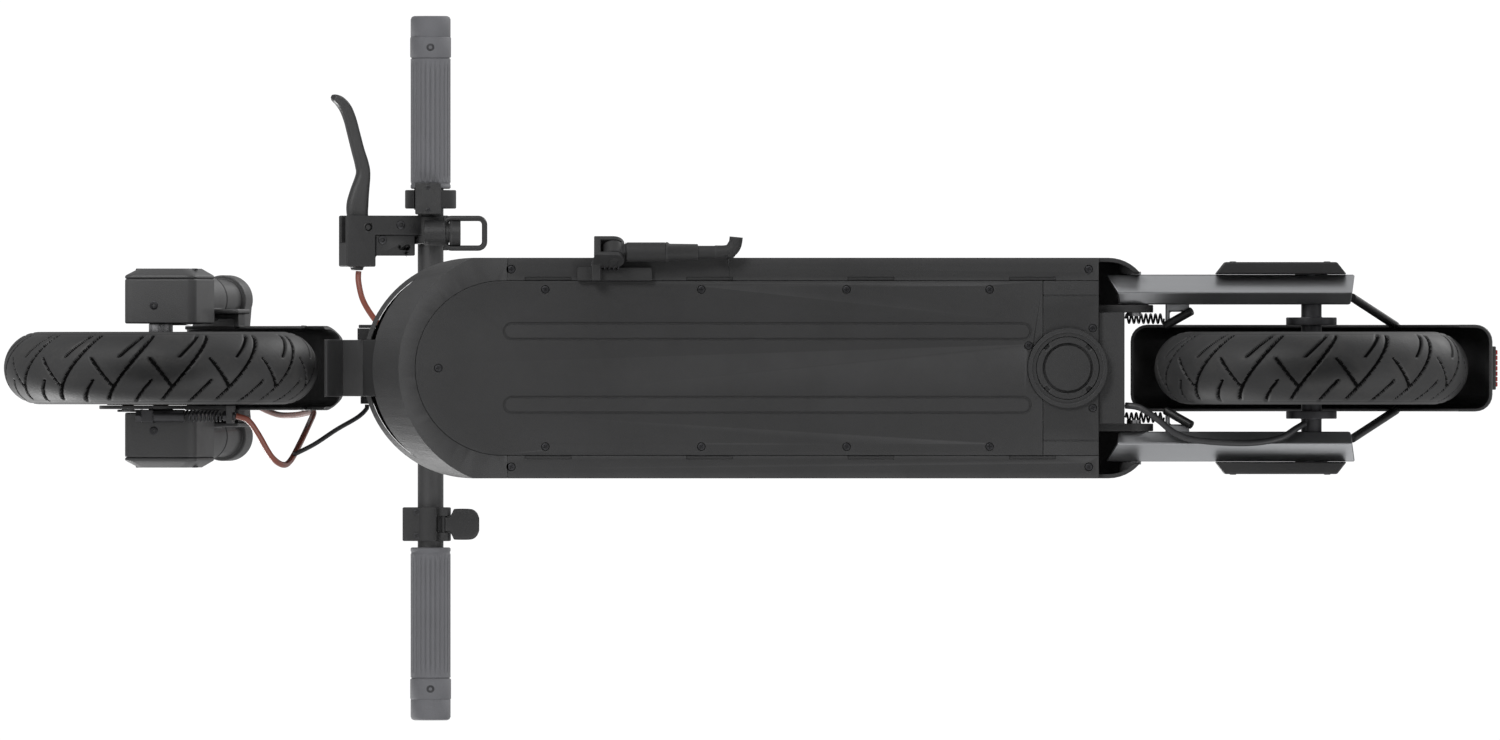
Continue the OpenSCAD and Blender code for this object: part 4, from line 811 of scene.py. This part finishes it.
# %% [markdown]
# ## More screws
# Each fork pod is pinned by one socket screw from below, each grip cap by another, and the controls
# are clamped on the bar by their own screws. The same tree sets them all; only the lists differ.
# %% Screws on the fork and the bar
SOCKET = (2.9, 0.5, "hex")
screws("pod_screws", [(-2, 52, -36.2), (-2, -52, -36.2)], "-Z", "fork_lowers", (3.6, 0.4, "cross"),
       steered)
screws("cap_screws", [(x, 82.0, -6) for x in (-30, 17)], "+Y", "axle_caps", SOCKET, steered)
screws("cap_screws_right", [(x, -82.0, -6) for x in (-30, 17)], "-Y", "axle_caps", SOCKET, steered)
screws("grip_screws", [(0, side * 275.5, -17.5) for side in (1, -1)], "-Z", "grips",
       (3.4, 0.3, "hex"), at_bar)
screws("lever_screws", [(31, 123, -11.2), (47, 110, -9.2)], "-Z", "lever_housing",
       (3.9, 1.0, "hex"), lever_frame)
screws("switch_screws", [(2, 135.5, -29.2), (2, 155.5, -29.2)], "-Z", "switch_pod",
       (2.0, 0.4, "cross"), at_bar)
screws("throttle_screws", [(12, -124, -14.2), (12, -144, -14.2)], "-Z", "throttle_body", SOCKET,
       at_bar)
screws("fender_screws", [(-44, 45.2, 78), (-44, 45.2, 92)], "+Y", "front_fender", SOCKET, steered)
screws("fender_screws_right", [(-44, -45.2, 78), (-44, -45.2, 92)], "-Y", "front_fender", SOCKET,
       steered)
screws("axle_cover_screws", [(x, 87.9, 130) for x in (-400, -478)], "+Y", "arm_covers", SOCKET)
screws("axle_cover_screws_right", [(x, -87.9, 130) for x in (-400, -478)], "-Y", "arm_covers",
       SOCKET)
BOLT_CIRCLE, BOLTS = 70, 10
HUB_BOLTS = [(BOLT_CIRCLE * math.cos(a), BOLT_CIRCLE * math.sin(a))
             for a in np.arange(BOLTS) * math.pi / 5]
screws("hub_bolts_left", [(x, 24.2, z) for x, z in HUB_BOLTS], "+Y", "motor_hub", (2.6, 0.8, "hex"),
       rear_wheel, material="steel")
screws("hub_bolts_right", [(x, -24.2, z) for x, z in HUB_BOLTS], "-Y", "motor_hub",
       (2.6, 0.8, "hex"), rear_wheel, material="steel")
print("bolts on each side of the hub:", BOLTS)

# %% [markdown]
# ## Lamps and display
# The headlight is a bowl with a lens, the tail lamp a ribbed red lens, and the display shows one
# plain figure made of bars.
# %% Lamps
lens = [(27.5, 0), (27.5, 12.6), (30.9, 12.6), (31.2, 11.6), (31.8, 8), (32.4, 0)]
lamp_frame = along_stem @ Matrix.Translation((0, 0, -0.004))
keep(turned("head_lens", lens, 64, "X", None, lamp_frame), "headlight")
bezel = [(29.5, 12.8), (29.5, 14.6), (31.0, 14.9), (32.6, 14.4), (32.6, 13.2), (31.4, 12.8)]
keep(turned("lamp_bezel", bezel, 64, "X", None, lamp_frame), "headlight",
     FINISH["black_plastic"])


def slab(name, low, high, matrix, round_by=0.6):
    piece = mesh_object(name, [(x, y, z) for x in (0, 1) for y in (0, 1) for z in (0, 1)],
                        [(0, 1, 3, 2), (4, 6, 7, 5), (0, 4, 5, 1), (2, 3, 7, 6), (0, 2, 6, 4),
                         (1, 5, 7, 3)])
    size = [h - l for l, h in zip(low, high)]
    stretch = Matrix.Diagonal([c * MM for c in size] + [1.0])
    place(piece, Matrix.Translation(Vector(low) * MM) @ stretch)
    bevel = piece.modifiers.new("Edge", "BEVEL")
    bevel.width, bevel.segments = round_by * MM, 2
    made = bpy.data.meshes.new_from_object(
        piece.evaluated_get(bpy.context.evaluated_depsgraph_get()))
    bpy.data.objects.remove(piece)
    ready = bpy.data.objects.new(name, made)
    scene.collection.objects.link(ready)
    made.set_sharp_from_angle(angle=math.radians(40))
    return place(ready, matrix)


RIBS, RIB_PITCH, RIB_WIDTH = 7, 4.4, 3.9
for i in range(RIBS):
    y = -15.4 + RIB_PITCH * i
    keep(slab("tail_lamp_rib_%d" % i, (-154.4, y, 8), (-149.5, y + RIB_WIDTH, 28), rear_wheel),
         "rear_fender", RED_LENS)
SEGMENTS = [(6, -4, 7, 4), (-1, -4, 0, 4), (0, -4.6, 3, -3.6), (3.4, -4.6, 6.4, -3.6),
            (0, 3.6, 3, 4.6), (3.4, 3.6, 6.4, 4.6)]
for i, (x0, y0, x1, y1) in enumerate(SEGMENTS):
    keep(slab("display_bar_%d" % i, (9 + x0, y0, 21.4), (9 + x1, y1, 21.7), along_stem, 0.1),
         "display", LIT_SEGMENT)
print("lamps and display dressed")

# %% [markdown]
# ## Floor, light and background
# The studio is a pale floor and a pale backdrop. The camera looks up from below the ground, so the
# floor is see-through from beneath and to shadow rays, and plain from above. A little of its own
# light, for the camera alone, joins it to the backdrop. Large soft lights stand below and above.
# %% Studio
FLOOR_HALF, FLOOR_GLOW = 30.0, 0.3
WORLD_LIGHT, BACKDROP = 0.42, 1.08


def studio_floor():
    mat = bpy.data.materials.new("floor_paint")
    mat.use_nodes = True
    tree = mat.node_tree
    shader = tree.nodes["Principled BSDF"]
    shader.inputs["Base Color"].default_value = (0.86, 0.86, 0.86, 1)
    shader.inputs["Roughness"].default_value = 0.9
    side = add(tree, "ShaderNodeNewGeometry")
    ray = add(tree, "ShaderNodeLightPath")
    either = add(tree, "ShaderNodeMath", {0: side.outputs["Backfacing"],
                                          1: ray.outputs["Is Shadow Ray"]}, operation="MAXIMUM")
    glow = add(tree, "ShaderNodeMath", {0: ray.outputs["Is Camera Ray"], 1: FLOOR_GLOW},
               operation="MULTIPLY")
    shader.inputs["Emission Color"].default_value = (1, 1, 1, 1)
    tree.links.new(glow.outputs[0], shader.inputs["Emission Strength"])
    clear = add(tree, "ShaderNodeBsdfTransparent")
    mix = add(tree, "ShaderNodeMixShader", {0: either.outputs[0], 1: shader.outputs[0],
                                            2: clear.outputs[0]})
    tree.links.new(mix.outputs[0], tree.nodes["Material Output"].inputs["Surface"])
    corners = [(x * FLOOR_HALF, y * FLOOR_HALF, 0) for x, y in ((-1, -1), (1, -1), (1, 1), (-1, 1))]
    floor = mesh_object("floor", corners, [(0, 1, 2, 3)], False)
    floor.data.materials.append(mat)
    floor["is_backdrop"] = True


def soft_light(name, spot, target, size, power):
    light = bpy.data.objects.new(name, bpy.data.lights.new(name, "AREA"))
    light.data.shape, light.data.size, light.data.energy = "DISK", size, power
    light.location = spot
    light.rotation_mode = "QUATERNION"
    aim = Vector(target) - Vector(spot)
    light.rotation_quaternion = aim.to_track_quat("-Z", "Y")
    scene.collection.objects.link(light)


studio_floor()
soft_light("below_left", (1.5, 2.2, -2.2), (0.1, 0, 0.3), 1.3, 62)
soft_light("below_right", (-1.6, -2.2, -1.8), (0, 0, 0.3), 1.4, 30)
soft_light("key", (2.2, -2.6, 3.2), (0, 0, 0.4), 1.8, 120)
soft_light("fill", (-2.6, 2.4, 2.6), (0, 0, 0.4), 2.4, 80)
world = bpy.data.worlds.new("studio")
world.use_nodes = True
tree = world.node_tree
ray = add(tree, "ShaderNodeLightPath")
seen = add(tree, "ShaderNodeMapRange", {"Value": ray.outputs["Is Camera Ray"],
                                        "To Min": WORLD_LIGHT, "To Max": BACKDROP})
back = tree.nodes["Background"]
back.inputs["Color"].default_value = (0.97, 0.97, 0.975, 1)
tree.links.new(seen.outputs[0], back.inputs["Strength"])
scene.world = world
scene.view_settings.view_transform = "Standard"
print("studio: floor, four lights, pale backdrop")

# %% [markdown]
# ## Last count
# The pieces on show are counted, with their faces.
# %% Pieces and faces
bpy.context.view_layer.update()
triangles = {o.name: len(o.data.polygons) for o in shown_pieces() if o.type == "MESH"}
print("pieces:", len(triangles), "faces:", sum(triangles.values()))
